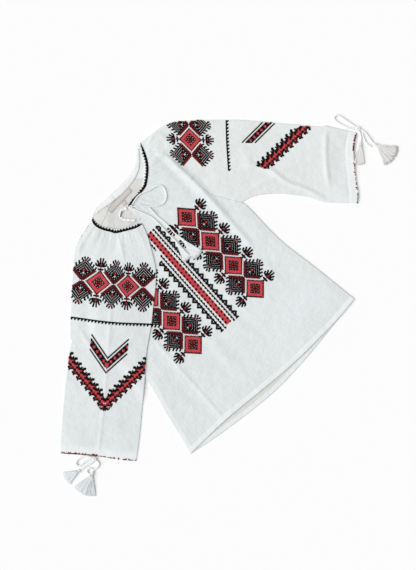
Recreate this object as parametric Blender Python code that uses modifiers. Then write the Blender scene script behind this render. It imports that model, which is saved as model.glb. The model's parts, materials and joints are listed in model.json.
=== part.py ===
# Embroidered folk blouse for a child, laid flat on the ground, one sleeve laid out and one folded down.
# Sizes are in millimetres and become metres when a mesh is made. X runs to the right of the lay, Y up it.

import math

import bmesh
import bpy
import numpy as np
from mathutils import Vector

MM = 0.001

# Cloth and the gaps between its layers
CLOTH = 1.0
SEAM_GAP = 0.3
LAYER_GAP = 0.3
LOWER_MID = CLOTH / 2
UPPER_MID = CLOTH + LAYER_GAP + CLOTH / 2
TUBE_LIFT = CLOTH + LAYER_GAP

# How far beside an edge the cloth over it comes down, and over what width
DRAPE_REACH = 34.0
DRAPE_FALL = 20.0

# How the body lies: its front neck point and the turn of its length, measured from X
BODY_AT = (-119.7, 107.5)
BODY_TURN = math.radians(-48.0)

# Half widths and lengths of the body, along it from BODY_AT and across it to the wearer's left
CHEST_HALF = 175.0
ARMPIT_ALONG = 75.0
FRONT_HEM_ALONG = 368.0
BACK_HEM_ALONG = 384.0
BACK_NECK_ALONG = -102.0

# Width of the turned edge that holds the neck drawstring, and of its inside at the back
CASING_WIDTH = 7.0
BACK_CASING_WIDTH = 12.0

# Drawstrings, knots and tassels
NECK_CORD_D = 2.6
CUFF_CORD_D = 3.6
NECK_KNOT_R = 3.2
CUFF_KNOT_R = 4.0
KNOT_WIDTH = 0.9
KNOT_HEIGHT = 0.85
CORD_GAP = 0.45
KNOT_GAP = 0.6
TASSEL_GAP = 0.6

# Front neck edge, along and across the body, from the knot to the left shoulder, and the edge that shows
# between the knot and the folded-down sleeve
FRONT_NECK = [(-60, 8), (-66, 14), (-69, 35), (-74, 52), (-85, 69), (-97, 81), (-109, 90), (-122, 97.5)]
NECK_TIP = (-139, 107)
FRONT_FOLD = [(-60, 8), (-42, 7), (-24, 6)]

# Back neck edge, from the wearer's right seam to the left one
BACK_NECK = [(BACK_NECK_ALONG, -12), (-102.5, 3), (BACK_NECK_ALONG, 20), (-104, 38)]

# Seams from the neck to the armpits
LEFT_ARMPIT = (ARMPIT_ALONG, CHEST_HALF)
RIGHT_ARMPIT = (ARMPIT_ALONG, -CHEST_HALF)
FRONT_LEFT_SEAM = [(-122, 97.5), (-104, 119), (-85, 131), (-51, 135), (-15, 137.5), (12, 139), (31, 146), LEFT_ARMPIT]
FRONT_RIGHT_SEAM = [(-24, 6), (0, -50), (30, -115), RIGHT_ARMPIT]
BACK_LEFT_SEAM = [(-104, 38), (-62, 92), (0, 136), LEFT_ARMPIT]
BACK_RIGHT_SEAM = [(-102, -12), (-70, -36), (-38, -75), (10, -115), (50, -152), RIGHT_ARMPIT]

# Side seams and hems
LEFT_SIDE = [LEFT_ARMPIT, (95, 178), (177, 181), (262, 196), (355, 211)]
RIGHT_SIDE = [RIGHT_ARMPIT, (140, -177), (211, -186), (275, -200), (365, -217)]
FRONT_HEM = [(365, -217), (362, -122), (366, -30), (FRONT_HEM_ALONG, 45), (363, 150), (355, 211)]
BACK_HEM = [(365, -217), (373, -167), (380, -100), (BACK_HEM_ALONG, -15), (378, 61), (368, 130), (355, 211)]

# Laid-out sleeve in the lay: its folded centre line, the fold under the arm, and the cuff
OUT_TOP = [(-133.2, 282.4), (-125, 287), (-103, 304), (-80, 318), (-46, 323), (0, 324.5), (57, 324.3), (103, 321),
           (137, 317.3), (171, 315.4), (205, 311.6), (219, 313.5), (232, 310.7), (263, 304), (279.3, 300.2)]
OUT_UNDER = [(60.5, 168.9), (76, 177.7), (99, 183.4), (134, 185.3), (167, 181.5), (190, 177.7), (213, 170),
             (245, 167.5), (281, 167.5)]
OUT_CUFF = [(279.3, 300.2), (275, 277), (275, 249), (278, 211), (282, 184), (281, 167.5)]
OUT_BACK_NECK = [(-139, 107), (-136, 99), (-121, 82), (-112, 66), (-107, 52), (-104, 38)]

# Folded-down sleeve in the lay: its neck edge, outer fold, inner fold and cuff
DOWN_NECK = [(-224.2, 139.7), (-216, 130), (-208, 125), (-199, 121.5), (-189, 119.5), (-178, 117.5), (-166, 119.5),
             (-150, 123.7), (-138, 128), (-129.4, 127.3)]
DOWN_OUTER = [(-224.2, 139.7), (-226, 129), (-241, 106), (-254.6, 84), (-260, 40), (-262.5, 0), (-266, -80),
              (-262.5, -95), (-266, -112), (-271, -150), (-276, -190), (-281, -247), (-284.6, -308.8)]
DOWN_INNER = [(-129.4, 127.3), (-119.7, 107.5), (-110.2, 74.5), (-103.2, 42), (-103.2, 13), (-106.4, -15),
              (-111.2, -62), (-117.2, -96), (-122.3, -130), (-122.6, -152), (-126.7, -198), (-134, -275),
              (-140.6, -323)]
DOWN_CUFF = [(-284.6, -308.8), (-250.8, -310.7), (-215, -314), (-171, -320.5), (-140.6, -323)]
DOWN_BACK_NECK = [(-224.2, 139.7), (-220.4, 151), (-210.9, 162.5), (-201, 171)]

# Long folds and press creases of the upper layer in the lay: height, half width and the line they follow
UPPER_FOLDS = [
    {"height": 1.8, "half": 11, "line": [(-80, 252), (-28, 208), (40, 133), (95, 68)]},
    {"height": 2.2, "half": 11, "line": [(-116, -87), (-45, -168), (27, -248)]},
    {"height": 2.4, "half": 10, "line": [(55, 238), (89, 238), (115, 229), (147, 206), (184, 192), (222, 172)]},
    {"height": 2.2, "half": 9, "line": [(219, 313), (219, 250), (222, 188)]},
    {"height": 1.6, "half": 8, "line": [(-78, 262), (-80, 280), (-92, 293), (-108, 292), (-117, 276)]},
    {"height": 1.4, "half": 12, "line": [(60, 270), (72, 245), (75, 205)]},
    {"height": 1.2, "half": 14, "line": [(-40, -60), (60, -10), (130, 40)]},
]

# Folds of the folded-down sleeve
DOWN_FOLDS = [
    {"height": 1.8, "half": 10, "line": [(-180, 110), (-176, 60), (-182, -60), (-196, -180), (-213, -312)]},
    {"height": 1.6, "half": 9, "line": [(-240, -85), (-205, -125), (-196, -150)]},
    {"height": 1.6, "half": 9, "line": [(-140, -80), (-180, -120), (-196, -150)]},
    {"height": 1.4, "half": 9, "line": [(-222, 112), (-244, 84), (-250, 50)]},
    {"height": 1.2, "half": 10, "line": [(-150, -230), (-175, -250), (-230, -240)]},
]

# Gathers that fan out from the neck: centre of the fan, gathers in a full turn, height and length
GATHER_CENTRE = (-174.8, 188.1)
GATHERS_IN_TURN = 34
GATHER_HEIGHT = 1.5
GATHER_LENGTH = 75.0

# Rows and columns of each cloth grid
FRONT_GRID = {"seam_rows": 9, "side_rows": 11, "columns": 36}
BACK_GRID = {"seam_rows": 7, "side_rows": 8, "columns": 12}
OUT_GRID = {"rows": 19, "neck_columns": 3, "seam_columns": 9, "under_neck": 2, "under_seam": 7}
DOWN_GRID = {"rows": 21, "columns": 20, "under_neck": 2, "under_back": 6, "under_front": 6}
FOLD_STEPS = 3

# Drawstring routes in the lay, from the knot outwards, and what they hang on
NECK_KNOT_AT = (-150.0, 159.5)
NECK_LOOP = [(-147.5, 164.2), (-141.4, 174), (-134.5, 182), (-127, 186.5), (-118, 189.5), (-110, 194), (-102, 199),
             (-93, 200.5), (-86.5, 194.5), (-83, 185), (-83.5, 174), (-88.5, 166.5), (-97, 162.3), (-108, 161),
             (-120, 161), (-134, 161.6), (-144.2, 160.7)]
NECK_END_A = [(-114.8, 157.9), (-107.5, 150.1), (-99.2, 140.8), (-87, 131.1), (-76.8, 120.8), (-66.5, 109.4)]
NECK_END_B = [(-145.4, 155.6), (-138, 152), (-126, 147.4), (-114, 142.2), (-103.5, 134), (-94, 124.4),
              (-84.5, 114), (-75, 104)]
DOWN_KNOT_AT = (-219.0, -318.5)
DOWN_LOOP = [(-222.5, -316.5), (-232, -313.3), (-240.5, -314.1), (-248.5, -318), (-253.5, -323.5), (-253.5, -329.5),
             (-248.5, -331.8), (-242.5, -328.5), (-236, -323.4), (-222.7, -320.1)]
DOWN_END_A = [(-220, -322.4), (-226, -327.2), (-233, -330.6), (-239, -334.6)]
DOWN_END_B = [(-216.5, -321.6), (-211.6, -325.6), (-211.6, -331.4), (-215.5, -336.4)]
DOWN_CURL = [(-222.45, -337.6), (-228.4, -336.6), (-232.6, -339.2), (-233.4, -343.4), (-230, -346.2)]
OUT_KNOT_AT = (281.0, 308.5)
OUT_LOOP = [(277.8, 311), (268, 317.4), (258, 324.2), (247, 332), (240.5, 333.6), (236, 330.5), (237, 324.5),
            (244, 319), (254, 313.6), (264, 309.6), (277.2, 307.4)]
OUT_END_A = [(284.8, 307.3), (292.8, 302.6), (299, 295), (304.2, 288)]
OUT_END_B = [(282.2, 304.7), (285, 298.5), (286.6, 291.5)]
OUT_CURL = [(289.4, 299.6), (291.4, 291.5), (294.8, 283.8), (300.5, 277.4), (306, 274.8)]
KNOTS = {
    "neck_knot": {"at": NECK_KNOT_AT, "radius": NECK_KNOT_R},
    "down_cuff_knot": {"at": DOWN_KNOT_AT, "radius": CUFF_KNOT_R},
    "out_cuff_knot": {"at": OUT_KNOT_AT, "radius": CUFF_KNOT_R},
}

# Each stretch of cord: its route, the knot at its start and at its end, and the tassel on its end
CORDS = [
    {"name": "neck_loop", "route": NECK_LOOP, "d": NECK_CORD_D, "start": "neck_knot", "end": "neck_knot"},
    {"name": "neck_end_a", "route": NECK_END_A, "d": NECK_CORD_D, "start": None, "end": "neck_tassel_a"},
    {"name": "neck_end_b", "route": NECK_END_B, "d": NECK_CORD_D, "start": "neck_knot", "end": "neck_tassel_b"},
    {"name": "down_cuff_loop", "route": DOWN_LOOP, "d": CUFF_CORD_D, "start": "down_cuff_knot",
     "end": "down_cuff_knot"},
    {"name": "down_cuff_end_a", "route": DOWN_END_A, "d": CUFF_CORD_D, "start": "down_cuff_knot",
     "end": "down_cuff_tassel_a"},
    {"name": "down_cuff_end_b", "route": DOWN_END_B, "d": CUFF_CORD_D, "start": "down_cuff_knot",
     "end": "down_cuff_tassel_b"},
    {"name": "down_cuff_curl", "route": DOWN_CURL, "d": CUFF_CORD_D, "start": None, "end": None},
    {"name": "out_cuff_loop", "route": OUT_LOOP, "d": CUFF_CORD_D, "start": "out_cuff_knot",
     "end": "out_cuff_knot"},
    {"name": "out_cuff_end_a", "route": OUT_END_A, "d": CUFF_CORD_D, "start": "out_cuff_knot",
     "end": "out_cuff_tassel_a"},
    {"name": "out_cuff_end_b", "route": OUT_END_B, "d": CUFF_CORD_D, "start": "out_cuff_knot",
     "end": "out_cuff_tassel_b"},
    {"name": "out_cuff_curl", "route": OUT_CURL, "d": CUFF_CORD_D, "start": None, "end": None},
]

# Tassels: place of the head, direction of the fan in degrees from X, its half angle, and the strands' length
TASSELS = [
    {"name": "neck_tassel_a", "at": (-52.8, 98.4), "turn": -38, "half_angle": 17, "length": 40},
    {"name": "neck_tassel_b", "at": (-64.2, 92.8), "turn": -60, "half_angle": 13, "length": 38},
    {"name": "down_cuff_tassel_a", "at": (-246.4, -339.4), "turn": -147, "half_angle": 20, "length": 29},
    {"name": "down_cuff_tassel_b", "at": (-222.0, -343.4), "turn": -110, "half_angle": 25, "length": 42},
    {"name": "out_cuff_tassel_a", "at": (312.4, 279.2), "turn": -36, "half_angle": 30, "length": 42},
    {"name": "out_cuff_tassel_b", "at": (285.8, 281.6), "turn": -93, "half_angle": 12, "length": 37},
]
TASSEL_STRANDS_ACROSS = 9
TASSEL_LAYERS = 2
TASSEL_SEGMENTS = 3
TASSEL_HEAD = {"length": 6.0, "width": 6.4, "height": 4.4}

# Label and size tab, along and across the body: centre, length and width
LABEL = {"along": -82.8, "across": 5.0, "length": 58.0, "width": 11.0}
SIZE_TAB = {"along": -73.0, "across": 7.5, "length": 9.0, "width": 8.0}
LABEL_THICK = 0.8

COLOURS = {
    "cotton": (0.86, 0.87, 0.88),
    "cotton_inside": (0.78, 0.76, 0.73),
    "cord": (0.84, 0.84, 0.83),
    "tassel": (0.72, 0.74, 0.76),
    "label": (0.72, 0.68, 0.65),
}


def clear_scene():
    for item in list(bpy.data.objects):
        bpy.data.objects.remove(item, do_unlink=True)


def make_collection(name):
    collection = bpy.data.collections.new(name)
    bpy.context.scene.collection.children.link(collection)
    return collection


def make_material(name, roughness):
    material = bpy.data.materials.new(name)
    material.use_nodes = True
    shader = material.node_tree.nodes["Principled BSDF"]
    shader.inputs["Base Color"].default_value = (*COLOURS[name], 1.0)
    shader.inputs["Roughness"].default_value = roughness
    shader.inputs["Metallic"].default_value = 0.0
    return material


def smooth_step(value):
    t = min(1.0, max(0.0, value))
    return t * t * (3.0 - 2.0 * t)


def from_body(points):
    """Places points given along and across the body in the lay."""
    c, s = math.cos(BODY_TURN), math.sin(BODY_TURN)
    return [(BODY_AT[0] + a * c - b * s, BODY_AT[1] + a * s + b * c) for a, b in points]


def smooth_line(points, per_span=10):
    """A Catmull-Rom curve through the points."""
    p = [np.array(q, float) for q in points]
    p = [2 * p[0] - p[1]] + p + [2 * p[-1] - p[-2]]
    out = []
    for k in range(1, len(p) - 2):
        a, b, c, d = p[k - 1], p[k], p[k + 1], p[k + 2]
        for step in range(per_span):
            t = step / per_span
            out.append(0.5 * (2 * b + (c - a) * t + (2 * a - 5 * b + 4 * c - d) * t * t
                              + (3 * b - a - 3 * c + d) * t ** 3))
    out.append(p[-2])
    return out


def lengths_along(line):
    total = [0.0]
    for a, b in zip(line, line[1:]):
        total.append(total[-1] + float(np.linalg.norm(b - a)))
    return total


def at_fractions(points, fractions):
    """Points of the smooth curve through the table at the given fractions of its length."""
    line = smooth_line(points)
    run = lengths_along(line)
    out = []
    for fraction in fractions:
        want = fraction * run[-1]
        k = max(0, min(len(line) - 2, next((i for i in range(1, len(run)) if run[i] >= want), len(run) - 1) - 1))
        span = max(1e-9, run[k + 1] - run[k])
        out.append(line[k] + (line[k + 1] - line[k]) * ((want - run[k]) / span))
    return out


def even(count):
    return [k / count for k in range(count + 1)]


def with_casing(points, count):
    """Fractions with two short rows for the drawstring casing, then even ones."""
    total = lengths_along(smooth_line(points))[-1]
    first = [0.0, CASING_WIDTH / 2 / total, CASING_WIDTH / total]
    start = first[-1]
    rest = count - 2
    return first + [start + (1.0 - start) * (k + 1) / rest for k in range(rest)]


def joined(*stretches):
    out = list(stretches[0])
    for stretch in stretches[1:]:
        out += list(stretch)[1:]
    return out


def shared_fractions(line_a, line_b):
    """Mean fractions of their lengths at which two opposite edges have their points."""
    run_a, run_b = lengths_along(line_a), lengths_along(line_b)
    return [(a / run_a[-1] + b / run_b[-1]) / 2 for a, b in zip(run_a, run_b)]


def patch(first, last, side_a, side_b):
    """A grid of points between four curves: rows run from the first curve to the last."""
    rows = shared_fractions(side_a, side_b)
    columns = shared_fractions(first, last)
    out = []
    for i, u in enumerate(rows):
        row = []
        for j, v in enumerate(columns):
            point = ((1 - u) * first[j] + u * last[j] + (1 - v) * side_a[i] + v * side_b[i]
                     - (1 - u) * (1 - v) * first[0] - (1 - u) * v * first[-1]
                     - u * (1 - v) * last[0] - u * v * last[-1])
            row.append(point)
        out.append(row)
    return out


def pull_in(grid, first=True, sides=True):
    """Draws the edges of a grid inwards by half a seam gap."""
    gap = SEAM_GAP * 0.65
    moved = [[p.copy() for p in row] for row in grid]

    def towards(a, b):
        step = b - a
        return a + step * (gap / max(gap, float(np.linalg.norm(step))))
    if first:
        moved[0] = [towards(a, b) for a, b in zip(grid[0], grid[1])]
    if sides:
        for i, row in enumerate(grid):
            moved[i][0] = towards(moved[i][0], row[1])
            moved[i][-1] = towards(moved[i][-1], row[-2])
    return moved


def distance_to_line(x, y, line):
    best = 1e9
    for (ax, ay), (bx, by) in zip(line, line[1:]):
        dx, dy = bx - ax, by - ay
        t = ((x - ax) * dx + (y - ay) * dy) / max(1e-9, dx * dx + dy * dy)
        t = min(1.0, max(0.0, t))
        best = min(best, math.hypot(x - ax - t * dx, y - ay - t * dy))
    return best


def inside(x, y, outline):
    result = False
    for (ax, ay), (bx, by) in zip(outline, outline[1:] + outline[:1]):
        if (ay > y) != (by > y) and x < (bx - ax) * (y - ay) / (by - ay) + ax:
            result = not result
    return result


def depth_in(x, y, outline):
    """Distance from the outline, positive inside it."""
    distance = distance_to_line(x, y, outline + outline[:1])
    return distance if inside(x, y, outline) else -distance


def outline_of(*tables):
    out = []
    for table in tables:
        out += [(float(p[0]), float(p[1])) for p in smooth_line(table, 4)[:-1]]
    return out


def backwards(points):
    return list(reversed(points))


FRONT_OUTLINE = outline_of(from_body(FRONT_NECK), from_body(FRONT_LEFT_SEAM), from_body(LEFT_SIDE),
                           from_body(backwards(FRONT_HEM)), from_body(backwards(RIGHT_SIDE)),
                           from_body(backwards(FRONT_RIGHT_SEAM)), from_body(backwards(FRONT_FOLD)))
BACK_OUTLINE = outline_of(from_body(BACK_NECK), from_body(BACK_LEFT_SEAM), from_body(LEFT_SIDE),
                          from_body(backwards(BACK_HEM)), from_body(backwards(RIGHT_SIDE)),
                          from_body(backwards(BACK_RIGHT_SEAM)))
DOWN_OUTLINE = outline_of(DOWN_NECK, DOWN_INNER, backwards(DOWN_CUFF), backwards(DOWN_OUTER))
OUT_OUTLINE = outline_of(from_body([FRONT_NECK[-1], NECK_TIP]), OUT_TOP, OUT_CUFF, backwards(OUT_UNDER),
                         from_body(backwards(FRONT_LEFT_SEAM)))
DOWN_UNDER_OUTLINE = outline_of(DOWN_BACK_NECK, from_body(BACK_RIGHT_SEAM), backwards(DOWN_OUTER))
FRONT_NECK_LINE = [tuple(p) for p in smooth_line(from_body(FRONT_NECK + [NECK_TIP]), 4)]
DOWN_NECK_LINE = [tuple(p) for p in smooth_line(DOWN_NECK, 4)]
SIDE_LINES = [[tuple(p) for p in smooth_line(from_body(side), 4)] for side in (LEFT_SIDE, RIGHT_SIDE)]


def fold_height(x, y, folds):
    total = 0.0
    for fold in folds:
        line = [tuple(p) for p in fold["line"]]
        distance = distance_to_line(x, y, line)
        if distance < fold["half"]:
            ends = min(math.dist((x, y), line[0]), math.dist((x, y), line[-1]))
            total += fold["height"] * smooth_step(1 - distance / fold["half"]) * smooth_step(0.35 + ends / 40)
    return total


def gathers(x, y, neck_line):
    """Soft ridges that fan out from the neck, and the raised casing at its edge."""
    distance = distance_to_line(x, y, neck_line)
    casing = 0.7 * math.sin(math.pi * distance / CASING_WIDTH) if distance < CASING_WIDTH else 0.0
    angle = math.atan2(y - GATHER_CENTRE[1], x - GATHER_CENTRE[0])
    wave = 0.5 + 0.5 * math.cos(GATHERS_IN_TURN * angle + 1.2 * math.sin(3 * angle))
    rise = smooth_step((distance - CASING_WIDTH) / 14) * smooth_step(1 - (distance - 14) / GATHER_LENGTH)
    return casing + GATHER_HEIGHT * wave * rise


def upper_relief(x, y):
    """How far the front and the laid-out sleeve's upper layer rise over their flat height."""
    open_part = smooth_step(-depth_in(x, y, DOWN_OUTLINE) / 26)
    if open_part == 0.0:
        return 0.0
    side = min(distance_to_line(x, y, line) for line in SIDE_LINES)
    relief = fold_height(x, y, UPPER_FOLDS) + gathers(x, y, FRONT_NECK_LINE)
    return relief * open_part * smooth_step(side / 16)


def sleeve_puff(x, y, outline, height):
    return height * smooth_step(depth_in(x, y, outline) / 45)


def upper_mid(x, y):
    return UPPER_MID + upper_relief(x, y) + sleeve_puff(x, y, OUT_OUTLINE, 0.8)


def down_lift(x, y):
    """Height of whatever the folded-down sleeve lies on, with its clearance."""
    over_back = (CLOTH + LAYER_GAP) * smooth_step((DRAPE_REACH + depth_in(x, y, BACK_OUTLINE)) / DRAPE_FALL)
    over_front = (UPPER_MID + CLOTH / 2 + LAYER_GAP * 1.5) * smooth_step(
        (DRAPE_REACH + depth_in(x, y, FRONT_OUTLINE)) / DRAPE_FALL)
    return max(over_back, over_front)


def lower_top(x, y):
    """Height of the lower layer that the back neck casing lies on."""
    return CLOTH + (down_lift(x, y) if inside(x, y, DOWN_UNDER_OUTLINE) else 0.0)


def down_mid(x, y):
    relief = fold_height(x, y, DOWN_FOLDS) + gathers(x, y, DOWN_NECK_LINE)
    return down_lift(x, y) + LOWER_MID + TUBE_LIFT + relief + sleeve_puff(x, y, DOWN_OUTLINE, 1.0)


def cloth_top(x, y):
    """Height of the topmost cloth, for what lies on it."""
    down = smooth_step(1 + depth_in(x, y, DOWN_OUTLINE) / 5)
    upper = max(smooth_step(1 + depth_in(x, y, FRONT_OUTLINE) / 5), smooth_step(1 + depth_in(x, y, OUT_OUTLINE) / 5))
    back = smooth_step(1 + depth_in(x, y, BACK_OUTLINE) / 5)
    top = back * CLOTH
    if upper > 0:
        top = max(top, upper * (upper_mid(x, y) + CLOTH / 2))
    if down > 0:
        top = max(top, down * (down_mid(x, y) + CLOTH / 2))
    return top


def add_object(name, mesh, material, collection):
    item = bpy.data.objects.new(name, mesh)
    item.data.materials.append(material)
    collection.objects.link(item)
    return item


def grid_mesh(name, points, closed=False):
    """A sheet or an open tube whose vertices are a grid laid on the points."""
    rows, columns = len(points), len(points[0])
    work = bmesh.new()
    bmesh.ops.create_grid(work, x_segments=columns - 1, y_segments=rows - 1, size=1.0)
    for vertex in work.verts:
        j = round((vertex.co.x + 1) / 2 * (columns - 1))
        i = round((vertex.co.y + 1) / 2 * (rows - 1))
        vertex.co = Vector([float(c) * MM for c in points[i][j]])
    if closed:
        bmesh.ops.remove_doubles(work, verts=work.verts[:], dist=0.00001)
    bmesh.ops.recalc_face_normals(work, faces=work.faces[:])
    mesh = bpy.data.meshes.new(name)
    work.to_mesh(mesh)
    work.free()
    mesh.shade_smooth()
    return mesh


def add_cloth(name, points, material, collection, closed=False):
    item = add_object(name, grid_mesh(name, points, closed), material, collection)
    wall = item.modifiers.new("wall", "SOLIDIFY")
    wall.thickness = CLOTH * MM
    wall.offset = 0.0
    wall.use_rim = True
    return item


def add_front(material, collection):
    rows = [FRONT_GRID["seam_rows"], FRONT_GRID["side_rows"]]
    seam_rows = with_casing(from_body(FRONT_LEFT_SEAM), rows[0])
    left = joined(at_fractions(from_body(FRONT_LEFT_SEAM), seam_rows),
                  at_fractions(from_body(LEFT_SIDE), even(rows[1])))
    right = joined(at_fractions(from_body(FRONT_FOLD), even(3)),
                   at_fractions(from_body(FRONT_RIGHT_SEAM), even(rows[0] - 3)),
                   at_fractions(from_body(RIGHT_SIDE), even(rows[1])))
    top = at_fractions(from_body(FRONT_NECK), even(FRONT_GRID["columns"]))
    hem = at_fractions(from_body(FRONT_HEM), even(FRONT_GRID["columns"]))
    flat = pull_in(patch(top, hem, right, left))
    points = [[(p[0], p[1], UPPER_MID + upper_relief(p[0], p[1])) for p in row] for row in flat]
    return add_cloth("front_panel", points, material, collection)


def add_back(material, collection):
    rows = [BACK_GRID["seam_rows"], BACK_GRID["side_rows"]]
    left = joined(at_fractions(from_body(BACK_LEFT_SEAM), even(rows[0])),
                  at_fractions(from_body(LEFT_SIDE), even(rows[1])))
    right = joined(at_fractions(from_body(BACK_RIGHT_SEAM), even(rows[0])),
                   at_fractions(from_body(RIGHT_SIDE), even(rows[1])))
    top = at_fractions(from_body(BACK_NECK), even(BACK_GRID["columns"]))
    hem = at_fractions(from_body(BACK_HEM), even(BACK_GRID["columns"]))
    flat = pull_in(patch(top, hem, right, left))
    points = [[(p[0], p[1], LOWER_MID) for p in row] for row in flat]
    return add_cloth("back_panel", points, material, collection)


def tube_points(upper, lower, upper_height, lower_height):
    """Rings of a flattened tube: its upper layer, a rounded fold, its lower layer and the other fold."""
    out = []
    for over, under in zip(upper, lower):
        ring = []
        top_z = [upper_height(p[0], p[1]) for p in over]
        low_z = [lower_height(p[0], p[1]) for p in under]

        def fold(edge, inner, z_from, z_to):
            half = (z_from - z_to) / 2
            away = edge - inner
            away = away / max(1e-9, float(np.linalg.norm(away)))
            for k in range(FOLD_STEPS + 1):
                angle = math.pi / 2 - math.pi * k / FOLD_STEPS
                base = edge - away * abs(half) * (1 - math.cos(angle))
                ring.append((base[0], base[1], (z_from + z_to) / 2 + half * math.sin(angle)))
        for k in range(1, len(over) - 1):
            ring.append((over[k][0], over[k][1], top_z[k]))
        fold(over[-1], over[-2], top_z[-1], low_z[-1])
        for k in range(len(under) - 2, 0, -1):
            ring.append((under[k][0], under[k][1], low_z[k]))
        fold(over[0], over[1], low_z[0], top_z[0])
        ring.append(ring[0])
        out.append(ring)
    return out


def add_sleeve_out(material, collection):
    g = OUT_GRID
    seam_rows = with_casing(from_body(FRONT_LEFT_SEAM), g["seam_columns"])
    neck = at_fractions(from_body([NECK_TIP, (-131, 102.5), FRONT_NECK[-1]]), even(g["neck_columns"]))
    start = joined(neck, at_fractions(from_body(FRONT_LEFT_SEAM), seam_rows))
    under_start = joined(at_fractions(from_body(OUT_BACK_NECK), even(g["under_neck"])),
                         at_fractions(from_body(BACK_LEFT_SEAM), even(g["under_seam"])))
    top = at_fractions(OUT_TOP, even(g["rows"]))
    under = at_fractions(OUT_UNDER, even(g["rows"]))
    cuff = at_fractions(OUT_CUFF, even(len(start) - 1))
    under_cuff = at_fractions(OUT_CUFF, even(len(under_start) - 1))
    upper = pull_in(patch(start, cuff, top, under), sides=False)
    lower = pull_in(patch(under_start, under_cuff, top, under), sides=False)
    points = tube_points(upper, lower, upper_mid, lambda x, y: LOWER_MID)
    return add_cloth("sleeve_out", points, material, collection, closed=True)


def add_sleeve_down(material, collection):
    g = DOWN_GRID
    rows = with_casing(DOWN_OUTER, g["rows"])
    outer = at_fractions(DOWN_OUTER, rows)
    inner = at_fractions(DOWN_INNER, rows)
    neck = at_fractions(DOWN_NECK, even(g["columns"]))
    cuff = at_fractions(DOWN_CUFF, even(g["columns"]))
    under_start = joined(at_fractions(DOWN_BACK_NECK, even(g["under_neck"])),
                         at_fractions(from_body(BACK_RIGHT_SEAM), even(g["under_back"])),
                         at_fractions(from_body(backwards(FRONT_RIGHT_SEAM)), even(g["under_front"])))
    under_cuff = at_fractions(DOWN_CUFF, even(len(under_start) - 1))
    upper = patch(neck, cuff, outer, inner)
    lower = pull_in(patch(under_start, under_cuff, outer, inner), sides=False)
    points = tube_points(upper, lower, down_mid, lambda x, y: LOWER_MID + down_lift(x, y))
    return add_cloth("sleeve_down", points, material, collection, closed=True)


def add_plate(name, at, material, collection):
    """A thin woven label that lies on the back panel."""
    work = bmesh.new()
    bmesh.ops.create_cube(work, size=1.0)
    for vertex in work.verts:
        along = at["along"] + vertex.co.x * at["width"]
        across = at["across"] + vertex.co.y * at["length"]
        x, y = from_body([(along, across)])[0]
        z = CLOTH + LAYER_GAP + LABEL_THICK * (vertex.co.z + 0.5)
        vertex.co = (x * MM, y * MM, z * MM)
    bmesh.ops.recalc_face_normals(work, faces=work.faces[:])
    mesh = bpy.data.meshes.new(name)
    work.to_mesh(mesh)
    work.free()
    return add_object(name, mesh, material, collection)


def add_back_casing(material, collection):
    """The inside of the casing along the back neck, narrower where the front covers it."""
    edge = from_body([(-96.5, -46), (-100, -36), (-101.5, -22), (-101.8, 3), (-101.3, 20), (-105, 48), (-113.5, 70),
                      (-124, 84), (-133, 95)])
    widths = [3.5, 9, BACK_CASING_WIDTH, BACK_CASING_WIDTH, BACK_CASING_WIDTH, BACK_CASING_WIDTH, 11, 7, 2.5]
    steps = even(26)
    line = at_fractions(edge, steps)
    width_line = at_fractions([(10.0 * k, w) for k, w in enumerate(widths)], steps)
    points = []
    for k, p in enumerate(line):
        a, b = line[max(0, k - 1)], line[min(len(line) - 1, k + 1)]
        along = (b - a) / float(np.linalg.norm(b - a))
        inwards = np.array([along[1], -along[0]])
        width = width_line[k][1]
        row = [p + inwards * (SEAM_GAP + width * share) for share in (0, 0.5, 1)]
        under = max(lower_top(p[0] + dx, p[1] + dy) for dx in (-9, 0, 9) for dy in (-9, 0, 9))
        points.append([(q[0], q[1], under + LAYER_GAP + CLOTH / 2) for q in row])
    return add_cloth("neck_casing_back", points, material, collection)


def add_casing_bunch(material, collection):
    """The casing of the front's hidden half, bunched into a small loop beside the knot."""
    line = at_fractions([(-158, 157), (-166.5, 154), (-170.6, 147), (-169, 139.5), (-161.5, 135.3), (-150, 134.4),
                         (-141.5, 133.8)], even(18))
    points = []
    for k, p in enumerate(line):
        a, b = line[max(0, k - 1)], line[min(len(line) - 1, k + 1)]
        along = (b - a) / float(np.linalg.norm(b - a))
        side = np.array([-along[1], along[0]])
        half = 2.1 - 0.7 * k / 18
        z = CLOTH + LAYER_GAP + CLOTH / 2 + 0.5 * math.sin(k * math.pi / 3) ** 2
        points.append([(p[0] + side[0] * half * s, p[1] + side[1] * half * s, z) for s in (-1, 0, 1)])
    return add_cloth("neck_casing_bunch", points, material, collection)


def at_knot(knot, towards):
    """Where a cord meets a knot, on the side of the given point."""
    dx, dy = towards[0] - knot["at"][0], towards[1] - knot["at"][1]
    size = math.hypot(dx, dy)
    reach = knot["radius"] / math.hypot(dx / size, dy / size / KNOT_WIDTH) + KNOT_GAP
    return (knot["at"][0] + dx / size * reach, knot["at"][1] + dy / size * reach)


def cord_route(row):
    """The route with its ends drawn to the knot or the tassel they belong to."""
    route = list(row["route"])
    if row["start"]:
        route[0] = at_knot(KNOTS[row["start"]], route[0])
    if row["end"] in KNOTS:
        route[-1] = at_knot(KNOTS[row["end"]], route[-1])
    elif row["end"]:
        tassel = next(t for t in TASSELS if t["name"] == row["end"])
        turn = math.radians(tassel["turn"])
        for back in (1.3 * row["d"] + TASSEL_GAP, TASSEL_GAP):
            route.append((tassel["at"][0] - math.cos(turn) * back, tassel["at"][1] - math.sin(turn) * back))
    return route


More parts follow.
